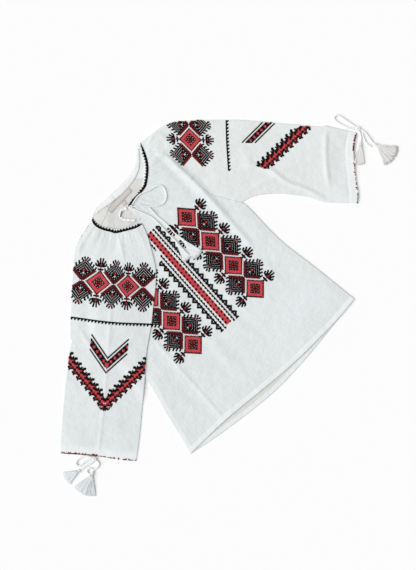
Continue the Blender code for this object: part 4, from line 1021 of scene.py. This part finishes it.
def plateOf(at, length, width, low, high):  # a slightly wavy tape between two heights, set across the body
    work = bmesh.new()
    bmesh.ops.create_cube(work, size=1.0)
    longEdges = [e for e in work.edges if abs(e.verts[0].co.y - e.verts[1].co.y) > 0.5]
    bmesh.ops.subdivide_edges(work, edges=longEdges, cuts=max(2, int(length / 3)))
    for vertex in work.verts:
        across = at[1] + vertex.co.y * length
        along = at[0] + vertex.co.x * width + tapeLook["skew"] * vertex.co.y * length
        x, y = toLay([(along, across)])[0]
        wave = tapeLook["wave"] * math.sin(across / 4.2) * (vertex.co.x + 0.5)
        z = low + (high - low) * (vertex.co.z + 0.5) + wave
        z += float(backMid(np.array([[x, y]]))[0]) - cloth["lower"]
        vertex.co = (x * mm, y * mm, z * mm)
    bmesh.ops.recalc_face_normals(work, faces=work.faces[:])
    bmesh.ops.bevel(work, geom=[e for e in work.edges if e.calc_face_angle(0) > 0.8],
                    offset=tapeLook["bevel"] * mm, affect="EDGES", segments=2, profile=0.5, material=-1)
    return work


def makeLabel(name, row):
    at, border = (row["along"], row["across"]), row["border"]
    tape = plateOf(at, row["length"], row["width"], *tapeLook["tape"])
    finishPiece(name + "_look", tape, "label", name)
    rim = bmesh.new()
    inset = border * 1.6
    for side in (-1, 1):  # a woven line along each edge, and across each end
        along = at[0] + side * (row["width"] / 2 - inset)
        merged(rim, plateOf((along, at[1]), row["length"] - 2 * inset, border, *tapeLook["line"]))
        across = at[1] + side * (row["length"] / 2 - inset)
        middle = at[0] + tapeLook["skew"] * (across - at[1])
        merged(rim, plateOf((middle, across), border, row["width"] - 2 * inset, *tapeLook["line"]))
    finishPiece(name + "_border", rim, "labelRed")


makeBackCasing()
makeBunch()
for name, row in labels.items():
    makeLabel(name, row)
insideSeams = {"width": 0.8, "height": 1.1, "lines": [[(-194.2, 152.9), (-200, 140), (-207.1, 126.3)],
                                                      [(-190.0, 153.9), (-186, 137), (-181.6, 119.7)],
                                                      [(-158, 184), (-150, 176), (-146, 172)]]}
work = bmesh.new()
for points in insideSeams["lines"]:
    line = spread(points, even(24))
    z = fromField(heights["lift"], line) * (depth(line, "downUnder") > 0) + insideSeams["height"]
    path = np.concatenate([line, z[:, None]], 1)
    merged(work, tubeOn(path, lambda k, angle: insideSeams["width"] + 0 * (k + angle), 8, squash=0.6))
finishPiece("inside_seams", work, "insideCotton")
print("neck casing, labels and inside seams made")

# Embroidery: cells of thread, each a cross of two short stitches
stitchLook = {"reach": 1.24, "width": 0.68, "thick": 0.4, "sunk": 0.14, "second": 0.1, "narrow": 0.86,
              "drift": 0.06, "unevenRise": 0.02}
panels = {"front": {"height": "upper", "stitches": []}, "out": {"height": "upper", "stitches": []},
          "down": {"height": "down", "stitches": []}}


def crossStitch():
    work = bmesh.new()
    for turn, rise in ((45, 0.0), (-45, stitchLook["second"])):
        made = bmesh.ops.create_cube(work, size=2.0)["verts"]
        for vertex in made:
            top = vertex.co.z > 0
            narrow = stitchLook["narrow"] if top else 1.0
            vertex.co.x *= stitchLook["reach"] * (0.5 + 0.5 * narrow)
            vertex.co.y *= stitchLook["width"] * narrow
            vertex.co.z = (stitchLook["thick"] if top else 0.0) - stitchLook["sunk"] + rise
        bmesh.ops.rotate(work, verts=made, cent=(0, 0, 0), matrix=Matrix.Rotation(math.radians(turn), 3, "Z"))
    bmesh.ops.delete(work, geom=[f for f in work.faces if f.normal.z < -0.5], context="FACES")
    return meshOf(work, "crossStitch")


def bent(stations):  # a woven grid that bends with the cloth, from cell number, place and one cell across
    number = np.array([s[0] for s in stations], float)
    values = np.array([[*s[1], *s[2]] for s in stations], float)
    ends = 60.0
    before = values[0] - (values[1] - values[0]) / (number[1] - number[0]) * ends
    after = values[-1] + (values[-1] - values[-2]) / (number[-1] - number[-2]) * ends
    before[2:], after[2:] = values[0, 2:], values[-1, 2:]
    number = np.concatenate([[number[0] - ends], number, [number[-1] + ends]])
    values = np.vstack([before, values, after])

    def place(i, j):
        row = np.stack([np.interp(i, number, values[:, k]) for k in range(4)], 1)
        return row[:, :2] + row[:, 2:] * j[:, None]
    return place


def straight(at, down, across):  # a plain grid: its first cell, one cell down and one across
    return lambda i, j: np.array(at) + np.array(down) * i[:, None] + np.array(across) * j[:, None]


def beside(points, cell, side=1.0):  # a strip of cells that follows a line
    line = curveThrough(points, 8)
    run = runOf(line)
    normal = sideOf(line) * side

    def place(i, j):
        s = np.clip(i * cell, 0, run[-1])
        at = np.stack([np.interp(s, run, line[:, k]) for k in (0, 1)], 1)
        out = np.stack([np.interp(s, run, normal[:, k]) for k in (0, 1)], 1)
        out /= np.linalg.norm(out, axis=1, keepdims=True)
        along = np.stack([out[:, 1], -out[:, 0]], 1) * side
        return at + along * (i * cell - s)[:, None] + out * (j * cell)[:, None]
    return place, int(run[-1] / cell)


def sew(panel, cells, place, keep=None):
    if not cells:
        return
    i = np.array([c[0] for c in cells], float)
    j = np.array([c[1] for c in cells], float)
    colour = np.array([finishNumber[c] for c in cells.values()], float)
    at = place(i, j)
    u = (place(i + 0.5, j) - place(i - 0.5, j)) / 2
    v = (place(i, j + 0.5) - place(i, j - 0.5)) / 2
    v = np.where((u[:, 0] * v[:, 1] - u[:, 1] * v[:, 0] < 0)[:, None], -v, v)
    shown = depth(at, panel) > 0.3
    if panel == "front":
        shown &= depth(at, "down") < 3
    if keep is not None:
        shown &= keep(at)
    panels[panel]["stitches"].append(np.concatenate([at, u, v, colour[:, None]], 1)[shown])


threadNames = ["black", "red", "maroon", "white", "fine", "overcast"]
threadSize = {"black": 1.4, "red": 1.0, "maroon": 1.0, "white": 0.88, "fine": 0.68, "overcast": 1.15}
threadRise = {"black": 0.1, "red": 0.0, "maroon": 0.02, "white": 0.14, "fine": 0.14, "overcast": 0.1}
panelSize = {"front": {"black": 1.06, "white": 0.92, "fine": 0.66}, "out": {}, "down": {}}  # times threadSize
finishNumber = {name: k for k, name in enumerate(threadNames)}
marksOf = {"#": "black", "r": "red", "m": "maroon", "w": "white"}


def chart(cells, rows, top, turn, at):  # a drawn motif centred on at, its rows going inwards from top
    for k, row in enumerate(rows):
        for n, mark in enumerate(row):
            if mark in marksOf:
                cells[(at + n - (len(row) - 1) / 2, (top - k) * turn)] = marksOf[mark]


palm = ["...#m#...",
        ".##mrm##.",
        ".##mmm##.",
        ".###m###.",
        "....m....",
        "....m....",
        "...#m#...",
        "....m....",
        "....#...."]
fingers = [[(1.0, 3.4), (1.5, 8.0)], [(2.4, 2.4), (3.4, 3.9), (4.2, 5.4)],
           [(2.8, 0.8), (4.4, 0.6), (5.3, 1.6), (5.5, 2.6)], [(1.4, -3.6), (2.3, -3.1)]]
bud = ["rr",
       "mrm",
       "m"]
claws = [[(1.2, 12.2), (1.6, 13.6)], [(2.6, 10.4), (3.6, 11.2), (3.7, 12.4)]]
comb = {"spots": (10.7, 8.1, 5.6), "from": 12.3, "to": 14.5, "lean": 0.7}


def stroke(cells, points, at, start, turn, step=0.6):  # close stitches along a line and its mirror image
    line = spread(points, even(max(2, round(runOf(curveThrough(points))[-1] / step))))
    for i, j in line:
        for side in (-1, 1):
            cells[(at + side * i, (start + j) * turn)] = "black"


def redSquare(cells, at, before=True, after=True):  # nested rings, white towards its neighbours
    for i in range(-14, 15):
        onEven = i % 2 == 0
        rings = {12: "black", 6: "black", 5: "fine" if onEven else "maroon",
                 4: "maroon" if onEven else "black", 3: "maroon", 2: "red" if onEven else "black",
                 1: "maroon", 0: "black"}
        for j in range(-14, 15):
            ring = abs(i) + abs(j)
            colour = rings.get(ring, "red")
            if ring > 12:
                towards = (i > 2 and after) or (i < -2 and before)
                colour = "white" if ring < 15 and towards else None
            if colour:
                cells[(at + i, j)] = colour


def darkSquare(cells, at, out):  # a broad band inside, nested lines, a comb and a claw outside
    middle = 11  # cells from the row's centre line
    nested = {11: "black", 10: "fine", 9: "black", 8: "black", 7: "fine", 6: "black", 5: "black", 4: "fine",
              3: "black"}
    for i in range(-12, 13):
        for k in range(-12, 13):
            ring = abs(i) + abs(k)
            colour = nested.get(ring)
            if 7 < ring < 13 and (k < 0 or (k < 2 and abs(i) > 8)):
                colour = "black" if ring in (8, 10) and i % 2 else "maroon"
            elif k < 0 and 2 < ring < 8:
                colour = "fine" if ring == 6 and i % 2 == 0 else "black"
            if ring < 3:
                colour = "red" if i == 0 and k in (0, 1) else "maroon"
            if abs(i) + abs(k + 3) < 2:
                colour = "white" if i == 0 and k == -3 else "fine"
            if colour:
                cells.setdefault((at + i, (middle + k) * out), colour)
    for i in comb["spots"]:
        stroke(cells, [(i, comb["from"] - i), (i + comb["lean"], comb["to"] - i)], at, middle, out)
    for line in claws:
        stroke(cells, line, at, middle, out)
    chart(cells, bud, middle + 11, out, at)
    cells[(at, 0)] = "black"
    cells[(at - 1, 0)] = cells[(at + 1, 0)] = "white"


def column(reds, darks, reach=20, firstBefore=False, lastAfter=False):  # squares and palms in line
    cells = {}
    for at in reds:
        redSquare(cells, at, firstBefore or at != reds[0], lastAfter or at != reds[-1])
    for at in darks:
        for out in (-1, 1):
            darkSquare(cells, at, out)
    for at in reds:
        for turn in (-1, 1):
            chart(cells, palm, reach + 1, turn, at)
            for line in fingers:
                stroke(cells, line, at, reach - 2, turn)
    return cells


loops = ["##...##.", ".##.##..", "..###...", "...#...."]
innerLines = {"start": 9, "breakFrom": 20, "breakTo": 28, "loopStart": 33}  # one side's lines, in cells


def bandCells(last):  # red ribbon between pairs of lines, the outer ones with small loops
    cells = {}
    for i in range(last):
        for j in range(-3, 4):
            edge = (i % 5 in (0, 1) and j >= 2) or (i % 5 in (2, 3) and j <= -2)
            cells[(i, j)] = "black" if edge else "red"
    for side in (1, -1):
        for i in range(last + 2):
            broken = i < innerLines["start"] or innerLines["breakFrom"] <= i < innerLines["breakTo"]
            if side < 0 and broken:
                continue
            for j in (4, 5, 8, 9):
                cells[(i, j * side)] = "white"
            cells[(i, 7 * side)] = "black"
            cells[(i, 6 * side)] = "black" if i % 4 < 2 else "white"
            if side < 0 and i < innerLines["loopStart"]:
                continue
            cells[(i, 11 * side)] = "black"
            if i % 4 == 1:
                cells[(i, 10 * side)] = "black"
            for k, row in enumerate(loops):
                if row[i % 8] == "#":
                    cells[(i, (12 + k) * side)] = "black"
    return cells


toothPitch = 4  # cells from tooth to tooth


def toothed(count, thick=1, rim=False):  # a dense line with teeth on one side
    cells = {}
    for i in range(count + 1):
        for j in range(thick):
            cells[(i, j)] = "black"
        if i % toothPitch < thick + 1:
            cells[(i, thick)] = "black"
        if i % toothPitch == thick - 1:
            cells[(i, thick + 1)] = "black"
        if rim:
            cells[(i, -1)] = "white"
    return cells


def smallChevron(reach, arms=(-1, 1)):  # a dotted band between two lines, pointing down at the middle
    cells = {}
    for i in range(-reach, reach + 1):
        if (i < 0 and -1 not in arms) or (i > 0 and 1 not in arms):
            continue
        step = (abs(i) + 2) % 4 - 2
        for d in range(-3, 4):
            spot = max(abs(step), abs(d - step)) <= 1 or (abs(i) <= 2 and abs(i) + abs(d - 1) <= 3)
            cells[(i, d - abs(i))] = "red" if spot else "black"
        for d in (-7, 7):
            cells[(i, d - abs(i))] = "black"
    return cells


armRows = ["##...##mrrrm##rr#",  # one repeat of the stepped band, each row from the inner to the outer side
           "###.###mrrrm##mm#",
           "#m###mrrmmm#.#m##",
           "###mr##rrrmm#..##",
           "##...##mr##rrrm##"]
armTops = [-10, -9, -7, -8, -11]
tipCells = {"#": [(-5, 3), (-5, 4), (5, 3), (5, 4), (-4, 5), (4, 5), (-1, 5), (1, 5), (-1, 6), (1, 6),
                  (-2, 4), (2, 4), (0, 4), (0, 5)],
            "w": [(-1, -1), (1, -1)], "r": [(-3, 2), (-2, 2), (-3, 3), (3, 2), (2, 2), (3, 3), (0, 1)]}


def bigChevron(left, right, tip=True):
    cells = {}
    for i in range(-left, right + 1):
        for k, mark in enumerate(armRows[abs(i) % 5]):
            d = armTops[abs(i) % 5] + k
            if mark != "." and d - abs(i) <= 5 and (abs(i) > 2 or d > -7):
                cells[(i, d - abs(i))] = marksOf[mark]
    for mark, spots in (tipCells if tip else {}).items():
        for spot in spots:
            cells[spot] = marksOf[mark]
    return cells


cellSize = {"ribbon": 1.68, "toothed": 1.65, "edging": 1.48}
rightWay, leftWay = (1.29, 1.212), (1.29, 1.24)
rightColumn = bent([(0, (-44.1, 140.0), rightWay), (32, (0.9, 94.2), rightWay), (64, (44.8, 48.4), rightWay),
                    (96, (85.5, 4.6), rightWay)])
leftColumn = bent([(0, (-114.0, -11.4), leftWay), (32, (-72.6, -57.0), leftWay),
                   (64, (-32.3, -101.6), leftWay)])
sew("front", column((0, 32, 64, 96), (16, 48, 80)), rightColumn)
sew("front", column((0, 32, 64), (-16, 16, 48), firstBefore=True), leftColumn)
place, count = beside([(-115.9, 109.1), (-39.7, 23.9), (36.5, -61.2)], cellSize["ribbon"])
sew("front", bandCells(count), place)

downRow = bent([(-16, (-243.2, 20.3), (0.37, 1.77)), (0, (-211.5, 15.8), (0.29, 1.81)),
                (16, (-182.4, 12.5), (0.26, 1.82)), (32, (-156.6, 8.9), (0.10, 1.74)),
                (48, (-126.7, 7.2), (0.07, 1.86))])
sew("down", column((0, 32), (-16, 16, 48), reach=19, firstBefore=True, lastAfter=True), downRow)
place, count = beside([(-263.0, -49.8), (-187.3, -59.5), (-110.0, -63.1)], cellSize["toothed"], side=-1)
sew("down", toothed(count), place)
sew("down", smallChevron(20), straight((-195.8, -141.2), (1.73, -0.22), (-0.24, -1.98)))
sew("down", bigChevron(44, 46), straight((-199.5, -215.0), (1.72, -0.12), (-0.13, -1.86)))

foldCut = [(50.0, 238.0), (89.0, 238.0), (115.0, 229.0), (147.0, 206.0)]  # cloth below it is folded under


def aboveFold(at):
    return at[:, 1] > np.interp(at[:, 0], [p[0] for p in foldCut], [p[1] for p in foldCut]) - 1.0


outRow = bent([(-16, (-40.3, 315.5), (1.66, -0.06)), (0, (-37.4, 287.5), (1.68, -0.06)),
               (16, (-34.6, 258.8), (1.64, -0.04))])
sew("out", column((0,), (-16, 16), firstBefore=True, lastAfter=True), outRow)
place, count = beside([(30.8, 323.0), (32.0, 280.0), (35.3, 228.2)], cellSize["toothed"])
sew("out", toothed(count), place)
sew("out", smallChevron(26, arms=(1,)), straight((118.0, 326.0), (0.05, -1.72), (1.75, -0.03)))
sew("out", bigChevron(0, 46, tip=False), straight((180.5, 312.0), (0.05, -1.75), (1.84, -0.03)),
    keep=aboveFold)

neckEdging = toLay([(-61, 11), (-64, 24.5), (-65, 40), (-67, 49), (-70, 60.5), (-81, 75), (-93, 87),
                    (-106, 95.5), (-121, 102), (-136.5, 106.5)])
place, count = beside(neckEdging, cellSize["edging"])
for panel in ("front", "out"):
    sew(panel, toothed(count, thick=2, rim=True), place)
sleeveEdging = [(-222.3, 142.8), (-223.3, 136.2), (-221.4, 129.2), (-215.1, 122.4), (-203.9, 116.7),
                (-190, 113.2), (-178.8, 110.4), (-164.9, 113.2), (-148.2, 117.4), (-137, 121.6),
                (-129.4, 127.1)]
place, count = beside(sleeveEdging, cellSize["edging"])
sew("down", toothed(count, thick=2, rim=True), place)


whipLook = {"cell": 1.8, "inset": 1.2, "full": 0.97, "thin": 0.5, "maroon": 0.8, "secondFull": 0.5,
            "secondThin": 0.1}


def overcast(count, seed, dense):  # whipped edge: small groups of thread with gaps between
    rng = random.Random(seed)
    cells = {}
    for i in range(count + 1):
        full = dense(i / count)
        if rng.random() < whipLook["full" if full else "thin"]:
            cells[(i, 0)] = "overcast" if rng.random() < whipLook["maroon"] else "black"
            if rng.random() < whipLook["secondFull" if full else "secondThin"]:
                cells[(i, 1)] = "overcast"
    return cells


place, count = beside(cut["outCuff"] - np.array([whipLook["inset"], 0.0]), whipLook["cell"], side=-1)
sew("out", overcast(count, 5, lambda share: share < 0.28), place)
place, count = beside(cut["downCuff"] + np.array([0.0, whipLook["inset"]]), whipLook["cell"])
sew("down", overcast(count, 6, lambda share: 0.04 < share < 0.5), place)


def surfaceAt(panel, xy):  # top of the cloth; at a sleeve's folds it rounds down
    z = fromField(heights[panels[panel]["height"]], xy)
    if panel != "front":
        low = cloth["lower"] + (fromField(heights["lift"], xy) if panel == "down" else 0)
        half = (z - low) / 2
        near = np.clip(depth(xy, panel), 0, None)
        z = np.where(near < half, low + half + np.sqrt(np.maximum(0, half ** 2 - (half - near) ** 2)), z)
    return z + cloth["shell"] / 2


template = crossStitch()
shape = coordsOf(template)
rng = np.random.default_rng(7)
for panel, row in panels.items():
    rows = np.vstack(row["stitches"])
    for number, thread in enumerate(threadNames):
        mine = rows[rows[:, 6] == number]
        if len(mine) == 0:
            continue
        at = mine[:, 0:2] + rng.normal(0, stitchLook["drift"], (len(mine), 2))
        flat = shape[:, :2] * threadSize[thread] * panelSize[panel].get(thread, 1.0)
        xy = at[:, None] + flat[None, :, 0:1] * mine[:, None, 2:4] + flat[None, :, 1:2] * mine[:, None, 4:6]
        z = surfaceAt(panel, xy.reshape(-1, 2)).reshape(xy.shape[:2]) + shape[None, :, 2] + threadRise[thread]
        z = z + rng.normal(0, stitchLook["unevenRise"], (len(mine), 1))
        coords = np.concatenate([xy, z[..., None]], 2)
        finishPiece(panel + "_stitches_" + thread, copiesOf(template, coords, "stitches"), thread,
                    smooth=False)
        print(panel, thread, "stitches:", len(mine))
bpy.data.meshes.remove(template)
print("embroidery sewn")

# Plain sewing: small bars of thread along the seams, and dashes on the gathered casing
barLook = {"length": 1.9, "width": 0.55, "thick": 0.4, "pitch": 3.1}
seamRuns = [{"panel": "front", "line": "frontHem", "inset": 8.7, "side": 1, "ends": 6.0},
            {"panel": "out", "line": "outCuff", "inset": 16.0, "side": -1, "ends": 5.0},
            {"panel": "down", "line": "downCuff", "inset": 16.0, "side": 1, "ends": 5.0}]


def barShape():
    work = bmesh.new()
    bmesh.ops.create_cube(work, size=1.0)
    bmesh.ops.bevel(work, geom=work.edges[:], offset=0.2, affect="EDGES", segments=1, profile=0.5)
    return meshOf(work, "bar")


def barsAt(name, at, ahead, tops, finish, size=1.0):  # one bar at each place, along its direction
    bar = barShape()
    shape = coordsOf(bar)
    across = np.stack([-ahead[:, 1], ahead[:, 0]], 1)
    xy = at[:, None] + ahead[:, None] * (shape[None, :, 0:1] * barLook["length"] * size) \
        + across[:, None] * (shape[None, :, 1:2] * barLook["width"] * size)
    z = tops[:, None] + shape[None, :, 2] * barLook["thick"]
    finishPiece(name, copiesOf(bar, np.concatenate([xy, z[..., None]], 2), "bars"), finish)
    bpy.data.meshes.remove(bar)


for row in seamRuns:
    line = lines[row["line"]]
    run = runOf(line)
    s = np.arange(row["ends"], run[-1] - row["ends"], barLook["pitch"])
    normal = sideOf(line)
    sewn = line + row["side"] * normal * row["inset"]
    at = np.stack([np.interp(s, run, sewn[:, k]) for k in (0, 1)], 1)
    ahead = np.stack([np.interp(s, run, v) for v in (normal[:, 1], -normal[:, 0])], 1)
    ahead /= np.linalg.norm(ahead, axis=1, keepdims=True)
    shown = depth(at, row["panel"]) > 2
    tops = surfaceAt(row["panel"], at[shown]) + 0.02
    barsAt(row["line"] + "_stitches", at[shown], ahead[shown], tops, "white")
dashes = {"at": [(-167.4, 150.4), (-168.8, 146.2), (-169.6, 142.2)], "ahead": (-0.25, -0.97), "top": 3.2,
          "size": 2.4}
at = np.array(dashes["at"])
ahead = np.tile(dashes["ahead"], (len(at), 1))
barsAt("casing_dashes", at, ahead, np.full(len(at), dashes["top"]), "black", dashes["size"])
print("seams sewn")

# Floor and light
studio = {"floor": (0.955, 0.955, 0.955), "floorSize": 6.0, "world": 0.47, "sun": 2.36,
          "sunFrom": (-0.9, -0.12, 1.0), "sunAngle": 60.0}
work = bmesh.new()
bmesh.ops.create_grid(work, x_segments=1, y_segments=1, size=studio["floorSize"])
floor = bpy.data.objects.new("floor", meshOf(work, "floor"))
bpy.context.scene.collection.objects.link(floor)
floor.data.materials.append(newMaterial("floorPaper", studio["floor"], 0.9)[0])
world = bpy.data.worlds.new("studio")
bpy.context.scene.world = world
world.use_nodes = True
world.node_tree.nodes["Background"].inputs["Color"].default_value = (1.0, 1.0, 1.0, 1.0)
world.node_tree.nodes["Background"].inputs["Strength"].default_value = studio["world"]
sunData = bpy.data.lights.new("soft_sun", "SUN")
sunData.energy, sunData.angle = studio["sun"], math.radians(studio["sunAngle"])
sun = bpy.data.objects.new("soft_sun", sunData)
sun.location = studio["sunFrom"]
sun.rotation_euler = (-Vector(studio["sunFrom"])).to_track_quat("-Z", "Y").to_euler()
bpy.context.scene.collection.objects.link(sun)
bpy.context.scene.view_settings.view_transform = "Standard"
